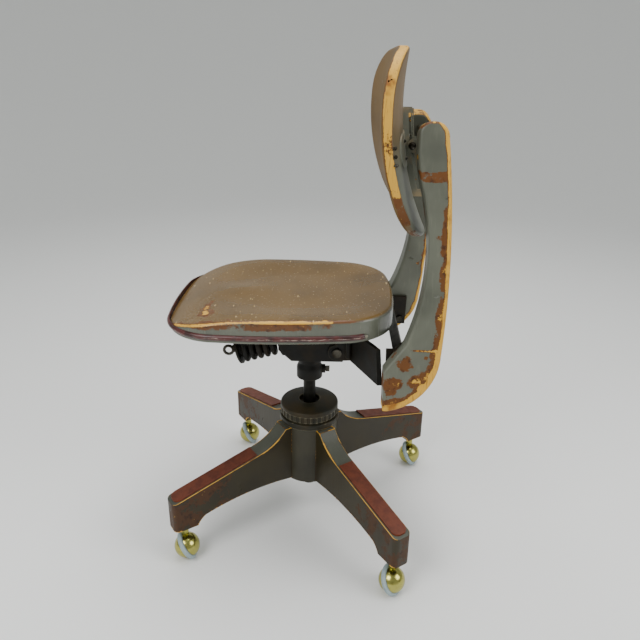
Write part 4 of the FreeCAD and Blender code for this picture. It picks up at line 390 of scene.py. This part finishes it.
def edging(paint):
    """Half-round maroon edging: glossy, its crown scuffed to pale streaks by desks."""
    material, tree, shader = new_material("scuffed_maroon_edging", IOR=1.52)
    scuffs = object_noise(tree, 2.2, stretch=(0.25, 0.25, 1.4), detail=5, rough=0.72)
    dirt = object_noise(tree, 9, detail=3)
    tint = list(paint.strip)
    dark = shaded(tint, 0.4, 0.4, 0.4)
    base = mix_colour(tree, step_between(tree, dirt, 0.45, 0.65), tint, dark)
    base = cover(tree, rubbed(tree, scuffs, 1.6), 0.72, 0.9, 0.8, base, linear("a9978a"))
    tree.links.new(base, shader.inputs["Base Color"])
    roughen(tree, shader, scuffs, 0.4, 0.15)
    bump(tree, shader, scuffs, 0.15, 0.5)
    return material


def fibre(paint):
    """Vulcanised fibre: matte, laminated edge, dark grime rubbed in."""
    material, tree, shader = new_material("red_brown_fibre", IOR=1.5)
    grime = object_noise(tree, 9, detail=5, rough=0.65)
    fine = object_noise(tree, 1.3, detail=4)
    tint = list(paint.pad)
    dark = shaded(tint, 0.66, 0.6, 0.55)
    light = shaded(tint, 1.45, 1.4, 1.3)
    base = mix_colour(tree, step_between(tree, grime, 0.4, 0.66), tint, dark)
    base = cover(tree, rubbed(tree, fine, 0.8), 0.55, 0.85, 0.6, base, light)
    tree.links.new(base, shader.inputs["Base Color"])
    roughen(tree, shader, grime, 0.3, 0.4)
    bump(tree, shader, fine, 0.12, 0.5)
    return material


class Finishes:
    """Every finish of the chair, made once."""

    def __init__(self, paint):
        green, olive_with_painted_shade = list(paint.green), list(paint.olive_with_painted_shade)
        self.upright = painted_wood("grey_green_enamel", green, green, paint)
        # Legs: paler paint on top, and on the sides the olive that is darkened as painted shade
        pale_olive = shaded(green, 0.62, 0.62, 0.62)
        self.leg = painted_wood(
            "olive_enamel", pale_olive, olive_with_painted_shade, paint, 0.42, 0.45, (0.2, 0.2, 1), linear("40250b"))
        self.seat = seat_paint(paint)
        self.back = painted_wood("backrest_enamel", list(paint.brown), green, paint, 0.4, 0.2)
        self.iron = cast_iron("japanned_cast_iron", list(paint.iron))
        self.wheel_iron = cast_iron("painted_cast_iron", linear("1f1f17"), 0.42, 1.6, 0.18, "7c7660")
        self.steel = steel("oiled_dark_steel", linear("4a4740"), 0.38)
        self.spindle = steel("turned_spindle_steel", linear("23221d"), 0.34, 0.5, (1, 1, 14), 0.8)
        self.bracket = cast_iron("grey_painted_sheet_steel", linear("74766a"), 0.4, 0.9, 0.06, "a6a591")
        self.bright = steel("bright_screw_steel", linear("8b8879"), 0.3)
        self.brass = brass_plate(paint)
        self.tyre = rubber("grey_tyre_rubber", list(paint.tyre))
        self.strip = edging(paint)
        self.pad = fibre(paint)


FINISH = {}


def finishes():
    """The finishes, made at the first call."""
    if "made" not in FINISH:
        FINISH["made"] = Finishes(bpy.context.scene.chair_paint)
    return FINISH["made"]


# Meshes

def copied_mesh(node):
    """The node's mesh with its loose triangles joined."""
    mesh = bmesh.new()
    mesh.from_mesh(NODES[node].data)
    bmesh.ops.remove_doubles(mesh, verts=mesh.verts, dist=2e-6)
    return mesh


def crease_points(mesh, angle, spacing=0.0015):
    """Points along every edge where two faces meet at more than an angle."""
    points = []
    for edge in mesh.edges:
        if len(edge.link_faces) == 2 and edge.calc_face_angle(0) > angle:
            first, last = (vert.co for vert in edge.verts)
            count = max(1, int((last - first).length / spacing))
            points += [first.lerp(last, index / count) for index in range(count + 1)]
    return points


def point_tree(points):
    """A search tree that finds the nearest of the points."""
    tree = KDTree(len(points))
    for index, point in enumerate(points):
        tree.insert(point, index)
    tree.balance()
    return tree


def refine(mesh, step):
    """Splits edges until none is longer than a step."""
    for _ in range(9):
        long_edges = [edge for edge in mesh.edges if edge.calc_length() > step]
        if not long_edges:
            break
        bmesh.ops.subdivide_edges(mesh, edges=long_edges, cuts=1, use_grid_fill=False)
        bmesh.ops.triangulate(mesh, faces=[face for face in mesh.faces if len(face.verts) > 3])


def mark_creases(mesh, angle):
    """Smooth shading everywhere but across the edges sharper than an angle."""
    for face in mesh.faces:
        face.smooth = True
    for edge in mesh.edges:
        edge.smooth = not (len(edge.link_faces) == 2 and edge.calc_face_angle(0) > angle)


def finished_object(name, mesh, material):
    """A plain object at the origin from a bmesh, which is freed."""
    data = bpy.data.meshes.new(name)
    mesh.to_mesh(data)
    mesh.free()
    piece = bpy.data.objects.new(name, data)
    bpy.context.scene.collection.objects.link(piece)
    data.materials.append(material)
    return piece


def paint_layers(mesh, wear, tone):
    """Writes the wear and tone of every vertex by two rules of place and normal."""
    wear_layer = mesh.verts.layers.float.new("wear")
    tone_layer = mesh.verts.layers.float.new("tone")
    mesh.normal_update()
    for vert in mesh.verts:
        vert[wear_layer] = wear(vert.co, vert.normal)
        vert[tone_layer] = tone(vert.co, vert.normal)


def dress(node, material, wear=None, tone=None, step=None, shape=None, marked=None):
    """Replaces a CAD node by a finer copy of itself that carries wear.

    The wear rule gets each point's distance from the nearest sharp edge, or from
    the nearest vertex that marked picks out.
    """
    sizes = bpy.context.scene.chair_sizes
    mesh = copied_mesh(node)
    edges = crease_points(mesh, sizes.crease)
    refine(mesh, step or sizes.mesh_step)
    if shape:
        shape(mesh)
    if marked:
        mesh.normal_update()
        edges = [vert.co.copy() for vert in mesh.verts if marked(vert)]
    tree = point_tree(edges) if edges else None

    def edge_distance(place):
        return tree.find(place)[2] if tree else 1.0

    rule = wear or edge_wear()
    tone_rule = tone or (lambda place, normal: 0.0)
    paint_layers(mesh, lambda place, normal: rule(place, normal, edge_distance(place)), tone_rule)
    mark_creases(mesh, sizes.crease)
    piece = finished_object(node + "_dressed", mesh, material)
    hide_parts(node)
    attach(piece, BODY_OF[node])
    return piece


def cupped(mesh):
    """Draws the sides of the backrest and its rail forward, as old plywood cups."""
    cup = bpy.context.scene.chair_sizes.cup
    half_width = 0.15  # of the backrest
    for vert in mesh.verts:
        vert.co.y -= cup * (vert.co.x / half_width) ** 2


def edge_wear(width_mm=2.0, most=0.9):
    """Wear that rises towards every sharp edge."""
    def rule(place, normal, distance):
        return most * max(0.0, 1 - distance * MM / width_mm)
    return rule


def soft_step(value, low, high):
    """A smooth rise from 0 at low to 1 at high."""
    share = min(1.0, max(0.0, (value - low) / (high - low)))
    return share * share * (3 - 2 * share)


def spot(place, centre, radius_mm):
    """1 at a place, falling to 0 at a radius."""
    return 1 - soft_step((place - Vector(centre)).length * MM, 0, radius_mm)


def keep_cad(nodes, material):
    """Gives CAD nodes a finish and leaves their meshes as they are."""
    for node in nodes:
        data = NODES[node].data
        data.materials.clear()
        data.materials.append(material)


# Operators

class ChairOperator(bpy.types.Operator):
    """Base of the chair's operators."""

    bl_idname = "chair.base_step"
    bl_label = "Chair Step"

    def execute(self, context):
        self.build(context)
        return {"FINISHED"}

    def build(self, context):
        raise RuntimeError("this step has nothing to build")


class CHAIR_OT_legs(ChairOperator):
    """Dresses the four legs: olive paint, darkened on the sides as painted shade, rubbed edges, brown worn ends.
    """

    bl_idname = "chair.legs"
    bl_label = "Legs"

    def build(self, context):
        for name in LEGS:
            node = "leg_" + name
            outward = Vector((
                sum(place[0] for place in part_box(node)),
                sum(place[1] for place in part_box(node)), 0)).normalized()

            def wear(place, normal, distance, along=outward):
                sideways = abs(normal.dot(Vector((-along.y, along.x, 0))))
                reach = place.dot(along) * MM
                edge = 0.8 * max(0.0, 1 - distance * MM / 2.6)
                rim = 1.05 * soft_step(normal.z, 0.35, 0.5) * soft_step(sideways, 0.2, 0.34)
                end = 0.52 * soft_step(reach, 270, 312) * (1 - soft_step(normal.z, 0.4, 0.9))
                side = 0.5 * soft_step(reach, 90, 240) * (1 - soft_step(abs(normal.z), 0.4, 0.9))
                return max(edge, rim, end, side)

            # Tops take the pale paint, sides the darker olive: partly the real paint, partly painted shade on the
            # sides
            def tone(place, normal):
                return soft_step(normal.z, 0.3, 0.8)

            dress(node, finishes().leg, wear, tone)


class CHAIR_OT_column(ChairOperator):
    """Dresses the column and its handwheel and socket."""

    bl_idname = "chair.column"
    bl_label = "Column and Lift"

    def build(self, context):
        dress("column", finishes().leg, edge_wear(1.5, 0.6), lambda place, normal: 0.25)
        dress("hub_socket", finishes().wheel_iron, edge_wear(2.0, 1.0), step=0.004)
        dress("handwheel", finishes().wheel_iron, edge_wear(1.6, 0.95), step=0.004)
        keep_cad(["spindle"], finishes().spindle)
        keep_cad(["swivel_sleeve", "spindle_stop"], finishes().steel)


class CHAIR_OT_pads(ChairOperator):
    """Dresses the fibre pads on the legs."""

    bl_idname = "chair.pads"
    bl_label = "Leg Pads"

    def build(self, context):
        for name in LEGS:
            dress("leg_pad_" + name, finishes().pad, edge_wear(1.6, 0.9))


class CHAIR_OT_casters(ChairOperator):
    """Dresses the ball casters."""

    bl_idname = "chair.casters"
    bl_label = "Ball Casters"

    def build(self, context):
        for name in LEGS:
            made_of = {"hood_": finishes().brass, "wheel_": finishes().brass, "tyre_": finishes().tyre}
            for part, material in made_of.items():
                dress("caster_" + part + name, material, edge_wear(0.8, 0.7), step=0.0035)
        keep_cad(["caster_stem_" + name for name in LEGS] + ["caster_sockets"], finishes().steel)


class CHAIR_OT_seat(ChairOperator):
    """Dresses the seat: dished brown top, green edge, bare wood along the near rim."""

    bl_idname = "chair.seat"
    bl_label = "Seat"

    def build(self, context):
        low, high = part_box("seat")
        middle = Vector(((low.x + high.x) / 2, (low.y + high.y) / 2 + 0.02, 0))
        half = Vector(((high.x - low.x) / 2, (high.y - low.y) / 2, 1))
        depth = context.scene.chair_sizes.dish

        def rim_share(place):
            across, along = (place.x - middle.x) / half.x, (place.y - middle.y) / half.y
            return (abs(across) ** 3 + abs(along) ** 3) ** (1 / 3)

        def hollow(mesh):
            for vert in mesh.verts:
                if vert.co.z < low.z + 0.018:
                    continue
                share = rim_share(vert.co)
                bowl = 1 - soft_step(share, 0.45, 0.9)
                ridge = math.exp(-(vert.co.x / 0.035) ** 2) * (1 - soft_step(vert.co.y, -0.16, -0.02))
                vert.co.z -= depth * bowl * (1 - 0.75 * ridge)

        def wall(vert):
            return abs(vert.normal.z) < 0.35 and vert.co.z > low.z + 0.014

        def wear(place, normal, distance):
            near = soft_step(place.x, 0.02, 0.13)
            front = 1 - soft_step(place.y, 0.02, 0.13)
            topside = soft_step(normal.z, 0.3, 0.5)
            away = distance * MM
            rim = topside * (1 - soft_step(away, 3, 13))
            edge = rim * (0.3 + near * (0.12 + 0.4 * front))
            corner = 1 - soft_step(place.y, -0.16, 0.0)
            rubbed_share = near * front
            wide = topside * (1 - soft_step(away, 12, 30)) * rubbed_share * (0.36 + 0.12 * corner)
            upper = soft_step(place.z, low.z + 0.012, low.z + 0.03)
            below = (1 - topside) * rubbed_share * upper * 0.54
            lip = 0.42 * (1 - soft_step(place.z, low.z, low.z + 0.005))
            return max(edge, wide, below, lip)

        def tone(place, normal):
            return soft_step(normal.z, 0.55, 0.85)

        dress("seat", finishes().seat, wear, tone, step=0.005, shape=hollow, marked=wall)


class CHAIR_OT_edging(ChairOperator):
    """Dresses the edging round the seat and its two nails."""

    bl_idname = "chair.edging"
    bl_label = "Seat Edging"

    def build(self, context):
        low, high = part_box("bumper_strip")
        centre = (low.z + high.z) / 2

        def wear(place, normal, distance):
            return 0.75 * (1 - soft_step(abs(place.z - centre) * MM, 0.5, 3.5))

        dress("bumper_strip", finishes().strip, wear)
        keep_cad(["strip_nails"], finishes().bright)


class CHAIR_OT_uprights(ChairOperator):
    """Dresses the uprights and the crosspiece: bare rear edges, brown patches."""

    bl_idname = "chair.uprights"
    bl_label = "Uprights and Crosspiece"

    def build(self, context):
        for side in ("left", "right"):
            self.upright(side)
        low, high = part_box("crosspiece")

        def rail_wear(place, normal, distance):
            rim = 1 - soft_step(min(place.z - low.z, high.z - place.z) * MM, 1, 8)
            rear = soft_step(normal.y, 0.0, 0.6)
            return 0.34 * rim * (1 - rear) + 0.8 * rim * rear

        dress("crosspiece", finishes().upright, rail_wear)

    def upright(self, side):
        node = "upright_" + side
        low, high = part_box(node)
        near = side == "left"
        patches = (
            ((0.132, 0.196, 0.716), 16), ((0.137, 0.206, 0.684), 20), ((0.142, 0.212, 0.655), 22),
            ((0.175, 0.205, 0.455), 11), ((0.180, 0.200, 0.428), 14), ((0.185, 0.190, 0.400), 12),
        )
        band_height, rub_height = high.z - BAND_DROP, low.z + RUB_RISE

        def rearward(vert):
            heel = vert.normal.z < -0.45 and vert.co.y > 0.13
            return vert.normal.y > 0.4 or heel

        def wear(place, normal, distance):
            away = distance * MM
            low_down = 1 - soft_step(place.z - low.z, *HEEL_RISE)
            wide = 2 + 5 * low_down + (2.5 if near else 0)
            bare = 1 - soft_step(away, wide - 3, wide + 4)
            mottled = 0.62 * (1 - soft_step(away, wide + 2, wide + 24))
            mottled *= soft_step(high.z - place.z, *MOTTLE_DROP)
            crown = soft_step(normal.z, 0.1, 0.6) * 0.75
            crown *= 1 - soft_step(high.z - place.z, *CROWN_DROP)
            band = 0.58 * (1 - soft_step(abs(place.z - band_height) * MM, 7, 13))
            level = 0.8 * (1 - soft_step(abs(place.z - rub_height) * MM, 0.6, 3.2))
            level *= soft_step(place.y, 0.17, 0.19)
            spots = max(spot(place, centre, radius) for centre, radius in patches) * 0.52
            front = 0.26 * soft_step(-normal.y, 0.3, 0.8)
            handled = max(mottled, band, level, spots) if near else 0.6 * mottled
            return max(bare, crown, handled, front)

        dress(node, finishes().upright, wear, step=0.0045, marked=rearward)


class CHAIR_OT_backrest(ChairOperator):
    """Dresses the backrest: rubbed bare edges, brown above and green below at the rear."""

    bl_idname = "chair.backrest"
    bl_label = "Backrest"

    def build(self, context):
        low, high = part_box("backrest")

        def wear(place, normal, distance):
            side = math.sqrt(normal.x ** 2 + normal.z ** 2)
            rim = soft_step(side, 0.55, 0.85)
            low_down = 1 - soft_step(place.z - low.z, *STAIN_RISE)
            handled = 1 - soft_step(abs(place.z - high.z + HANDLED_DROP), 0.01, 0.045)
            front_half = soft_step(-normal.y, 0.0, 0.5)
            stained = 0.5 * low_down + 0.2 * handled + 0.32 * front_half
            return rim * (0.98 - stained)

        def tone(place, normal):
            rear = soft_step(normal.y, -0.1, 0.3)
            upper = soft_step(place.z - low.z, *BROWN_RISE)
            return 1 - rear * (1 - upper)

        dress("backrest", finishes().back, wear, tone, step=0.005, shape=cupped)


class CHAIR_OT_back_fittings(ChairOperator):
    """Finishes the rail, bracket and bolts that hold the backrest."""

    bl_idname = "chair.back_fittings"
    bl_label = "Backrest Fittings"

    def build(self, context):
        dress("backrest_bracket", finishes().bracket, edge_wear(1.2, 0.9), step=0.004)
        dress("backrest_rail", finishes().bracket, edge_wear(1.0, 0.8), step=0.005, shape=cupped)
        dress("backrest_screws", finishes().steel, step=0.004, shape=cupped)
        keep_cad(["pivot_bolt", "bracket_bolts", "pivot_spacer"], finishes().steel)
        keep_cad(["wing_nut"], finishes().bright)


class CHAIR_OT_castings(ChairOperator):
    """Finishes the iron castings and the tension rod under the seat."""

    bl_idname = "chair.castings"
    bl_label = "Castings"

    def build(self, context):
        dress("seat_iron", finishes().iron, edge_wear(1.8, 0.9), step=0.006)
        dress("back_carrier", finishes().iron, edge_wear(1.8, 0.9), step=0.008)
        dress("spring_cap", finishes().iron, edge_wear(1.2, 0.9), step=0.004)
        keep_cad(["cross_strap", "rod_clevis", "clevis_pin", "eye_screw", "pivot_pin"], finishes().steel)
        keep_cad(["set_screw", "seat_screws", "frame_bolts", "leg_bolts"], finishes().steel)


class CHAIR_OT_spring(ChairOperator):
    """Winds the tension spring by geometry nodes."""

    bl_idname = "chair.spring"
    bl_label = "Tension Spring"

    def build(self, context):
        sizes = context.scene.chair_sizes
        tree = bpy.data.node_groups.new("open_coil", "GeometryNodeTree")
        tree.interface.new_socket("Geometry", in_out="OUTPUT", socket_type="NodeSocketGeometry")
        kinds = {"Turns": "Float", "Radius": "Float", "Length": "Float", "Wire": "Float", "Sides": "Int"}
        sockets = {}
        for name, kind in kinds.items():
            socket = tree.interface.new_socket(name, in_out="INPUT", socket_type="NodeSocket" + kind)
            sockets[name] = socket.identifier
        given = add_node(tree, "NodeGroupInput")
        spiral = add_node(tree, "GeometryNodeCurveSpiral", inputs={
            "Resolution": 48, "Rotations": given.outputs["Turns"],
            "Start Radius": given.outputs["Radius"],
            "End Radius": given.outputs["Radius"], "Height": given.outputs["Length"]})
        section = add_node(tree, "GeometryNodeCurvePrimitiveCircle", inputs={
            "Resolution": given.outputs["Sides"], "Radius": given.outputs["Wire"]})
        tube = add_node(tree, "GeometryNodeCurveToMesh", inputs={
            "Curve": spiral.outputs["Curve"], "Profile Curve": section.outputs["Curve"],
            "Fill Caps": True})
        whole = add_node(tree, "GeometryNodeRealizeInstances", inputs={"Geometry": tube.outputs["Mesh"]})
        painted = add_node(tree, "GeometryNodeSetMaterial", inputs={
            "Geometry": whole.outputs["Geometry"], "Material": finishes().iron})
        add_node(tree, "NodeGroupOutput", inputs={"Geometry": painted.outputs["Geometry"]})
        joint = next(item for item in frame["joints"] if item["name"] == "pull_rod_slide")
        along = Vector(joint["axis"])
        low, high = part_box("tension_spring")
        start, length = self.ends(low, high, along, sizes)
        carrier = bpy.data.objects.new("tension_coil", bpy.data.meshes.new("tension_coil"))
        context.scene.collection.objects.link(carrier)
        modifier = carrier.modifiers.new("coil", "NODES")
        modifier.node_group = tree
        values = {"Turns": sizes.coil_turns, "Radius": sizes.coil_radius, "Length": length,
                  "Wire": sizes.coil_wire, "Sides": sizes.coil_sides}
        for name, value in values.items():
            modifier[sockets[name]] = value
        context.view_layer.update()
        made = bpy.data.meshes.new_from_object(carrier.evaluated_get(context.evaluated_depsgraph_get()))
        carrier.modifiers.clear()
        carrier.data = made
        made.transform(Matrix.Translation(start) @ along.to_track_quat("Z", "Y").to_matrix().to_4x4())
        for face in made.polygons:
            face.use_smooth = True
        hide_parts("tension_spring")
        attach(carrier, BODY_OF["tension_spring"])
        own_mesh(carrier)

    def ends(self, low, high, along, sizes):
        """Start of the coil's axis and its length between the middles of the end turns."""
        centre = (low + high) / 2
        mesh = NODES["tension_spring"].data
        reach = [vert.co.dot(along) for vert in mesh.vertices]
        length = max(reach) - min(reach) - 2 * sizes.coil_wire
        middle = Vector((0, centre.y, centre.z))
        start_along = min(reach) + sizes.coil_wire
        return middle + along * (start_along - middle.dot(along)), length


class CHAIR_OT_stage(ChairOperator):
    """Sets the floor, the soft lights and the camera at the photograph's angle."""

    bl_idname = "chair.stage"
    bl_label = "Stage"

    def build(self, context):
        self.floor()
        self.lights(context)
        self.camera(context)

    def floor(self):
        """A round floor whose rim sweeps up all round, so that no horizon line shows."""
        mesh = bmesh.new()
        flat, rim, wall, below = 3.0, 2.5, 2.0, 0.0002
        sides, bends = 96, 12
        profile = [(0.0, 0.0), (flat / 2, 0.0), (flat, 0.0)]
        for index in range(1, bends + 1):
            lift = index / bends * math.pi / 2
            profile.append((flat + rim * math.sin(lift), rim * (1 - math.cos(lift))))
        profile.append((flat + rim, rim + wall))
        turns = [step * 2 * math.pi / sides for step in range(sides)]
        rings = []
        for reach, height in profile[1:]:
            rings.append([
                mesh.verts.new((reach * math.cos(turn), reach * math.sin(turn), height - below))
                for turn in turns])
        mesh.faces.new(rings[0])
        for inner, outer in zip(rings, rings[1:]):
            for step in range(sides):
                after = (step + 1) % sides
                mesh.faces.new((inner[step], outer[step], outer[after], inner[after]))
        for face in mesh.faces:
            face.smooth = True
        material, _, shader = new_material("pale_floor", Roughness=0.8)
        shader.inputs["Base Color"].default_value = linear("ececea")
        floor = finished_object("floor", mesh, material)
        floor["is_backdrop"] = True

    def lights(self, context):
        """A pale room, and three soft lamps aimed at the middle of the chair."""
        world = bpy.data.worlds.new("pale_room")
        world.use_nodes = True
        background = world.node_tree.nodes["Background"]
        background.inputs["Color"].default_value = linear("e9eeee")
        background.inputs["Strength"].default_value = 0.5
        context.scene.world = world
        middle = Vector((0, 0, 0.5))
        lamps = (
            ("window", (1.5, -1.2, 2.0), 1.2, 40),
            ("ceiling", (-0.4, 0.1, 2.6), 1.6, 44),
            ("rear", (0.9, 1.9, 1.6), 1.3, 26),
        )
        for name, place, size, power in lamps:
            light = bpy.data.lights.new(name, "AREA")
            light.size, light.energy = size, power
            lamp = bpy.data.objects.new(name, light)
            lamp.location = place
            aim = middle - Vector(place)
            lamp.rotation_euler = aim.to_track_quat("-Z", "Y").to_euler()
            context.scene.collection.objects.link(lamp)

    def camera(self, context):
        """Eye height 0.94 m at the chair's left side, 23.35 degrees down, lens 35.3 mm."""
        heading, pitch, roll = math.radians(181), math.radians(-23.35), math.radians(0.7)
        forward = Vector((
            math.cos(heading) * math.cos(pitch), math.sin(heading) * math.cos(pitch), math.sin(pitch)))
        turn = forward.to_track_quat("-Z", "Y") @ Matrix.Rotation(roll, 4, "Z").to_quaternion()
        data = bpy.data.cameras.new("photograph_view")
        data.lens, data.sensor_width = 35.27, 36
        pixels = 640
        data.shift_x, data.shift_y = 0.5 / pixels, 1 / pixels
        camera = bpy.data.objects.new("photograph_view", data)
        camera.location = (1.1355, 0.0388, 0.935)
        camera.rotation_euler = turn.to_euler()
        context.scene.collection.objects.link(camera)
        context.scene.camera = camera


class CHAIR_PT_steps(bpy.types.Panel):
    """Lists the chair's steps in the sidebar."""

    bl_idname = "CHAIR_PT_steps"
    bl_label = "Swivel Chair"
    bl_space_type = "VIEW_3D"
    bl_region_type = "UI"
    bl_category = "Chair"

    def draw(self, context):
        for group in (context.scene.chair_paint, context.scene.chair_sizes):
            for key in group.bl_rna.properties.keys():
                if key not in ("rna_type", "name"):
                    self.layout.prop(group, key)
        for step in STEPS:
            self.layout.operator(step.bl_idname)


STEPS = (
    CHAIR_OT_stage, CHAIR_OT_legs, CHAIR_OT_column, CHAIR_OT_pads, CHAIR_OT_casters, CHAIR_OT_seat,
    CHAIR_OT_edging, CHAIR_OT_uprights, CHAIR_OT_backrest, CHAIR_OT_back_fittings, CHAIR_OT_castings,
    CHAIR_OT_spring,
)
CLASSES = (PaintSettings, SizeSettings) + STEPS + (CHAIR_PT_steps,)


def register():
    for item in CLASSES:
        bpy.utils.register_class(item)
    bpy.types.Scene.chair_paint = PointerProperty(type=PaintSettings)
    bpy.types.Scene.chair_sizes = PointerProperty(type=SizeSettings)


def unregister():
    del bpy.types.Scene.chair_paint
    del bpy.types.Scene.chair_sizes
    for item in reversed(CLASSES):
        bpy.utils.unregister_class(item)


def main():
    register()
    for step in STEPS:
        space, name = step.bl_idname.split(".")
        getattr(getattr(bpy.ops, space), name)()
    corners = {"cad": CAD_BOX, "visual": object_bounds()}
    {key: [list(corner) for corner in box] for key, box in corners.items()}


if __name__ == "__main__":
    main()
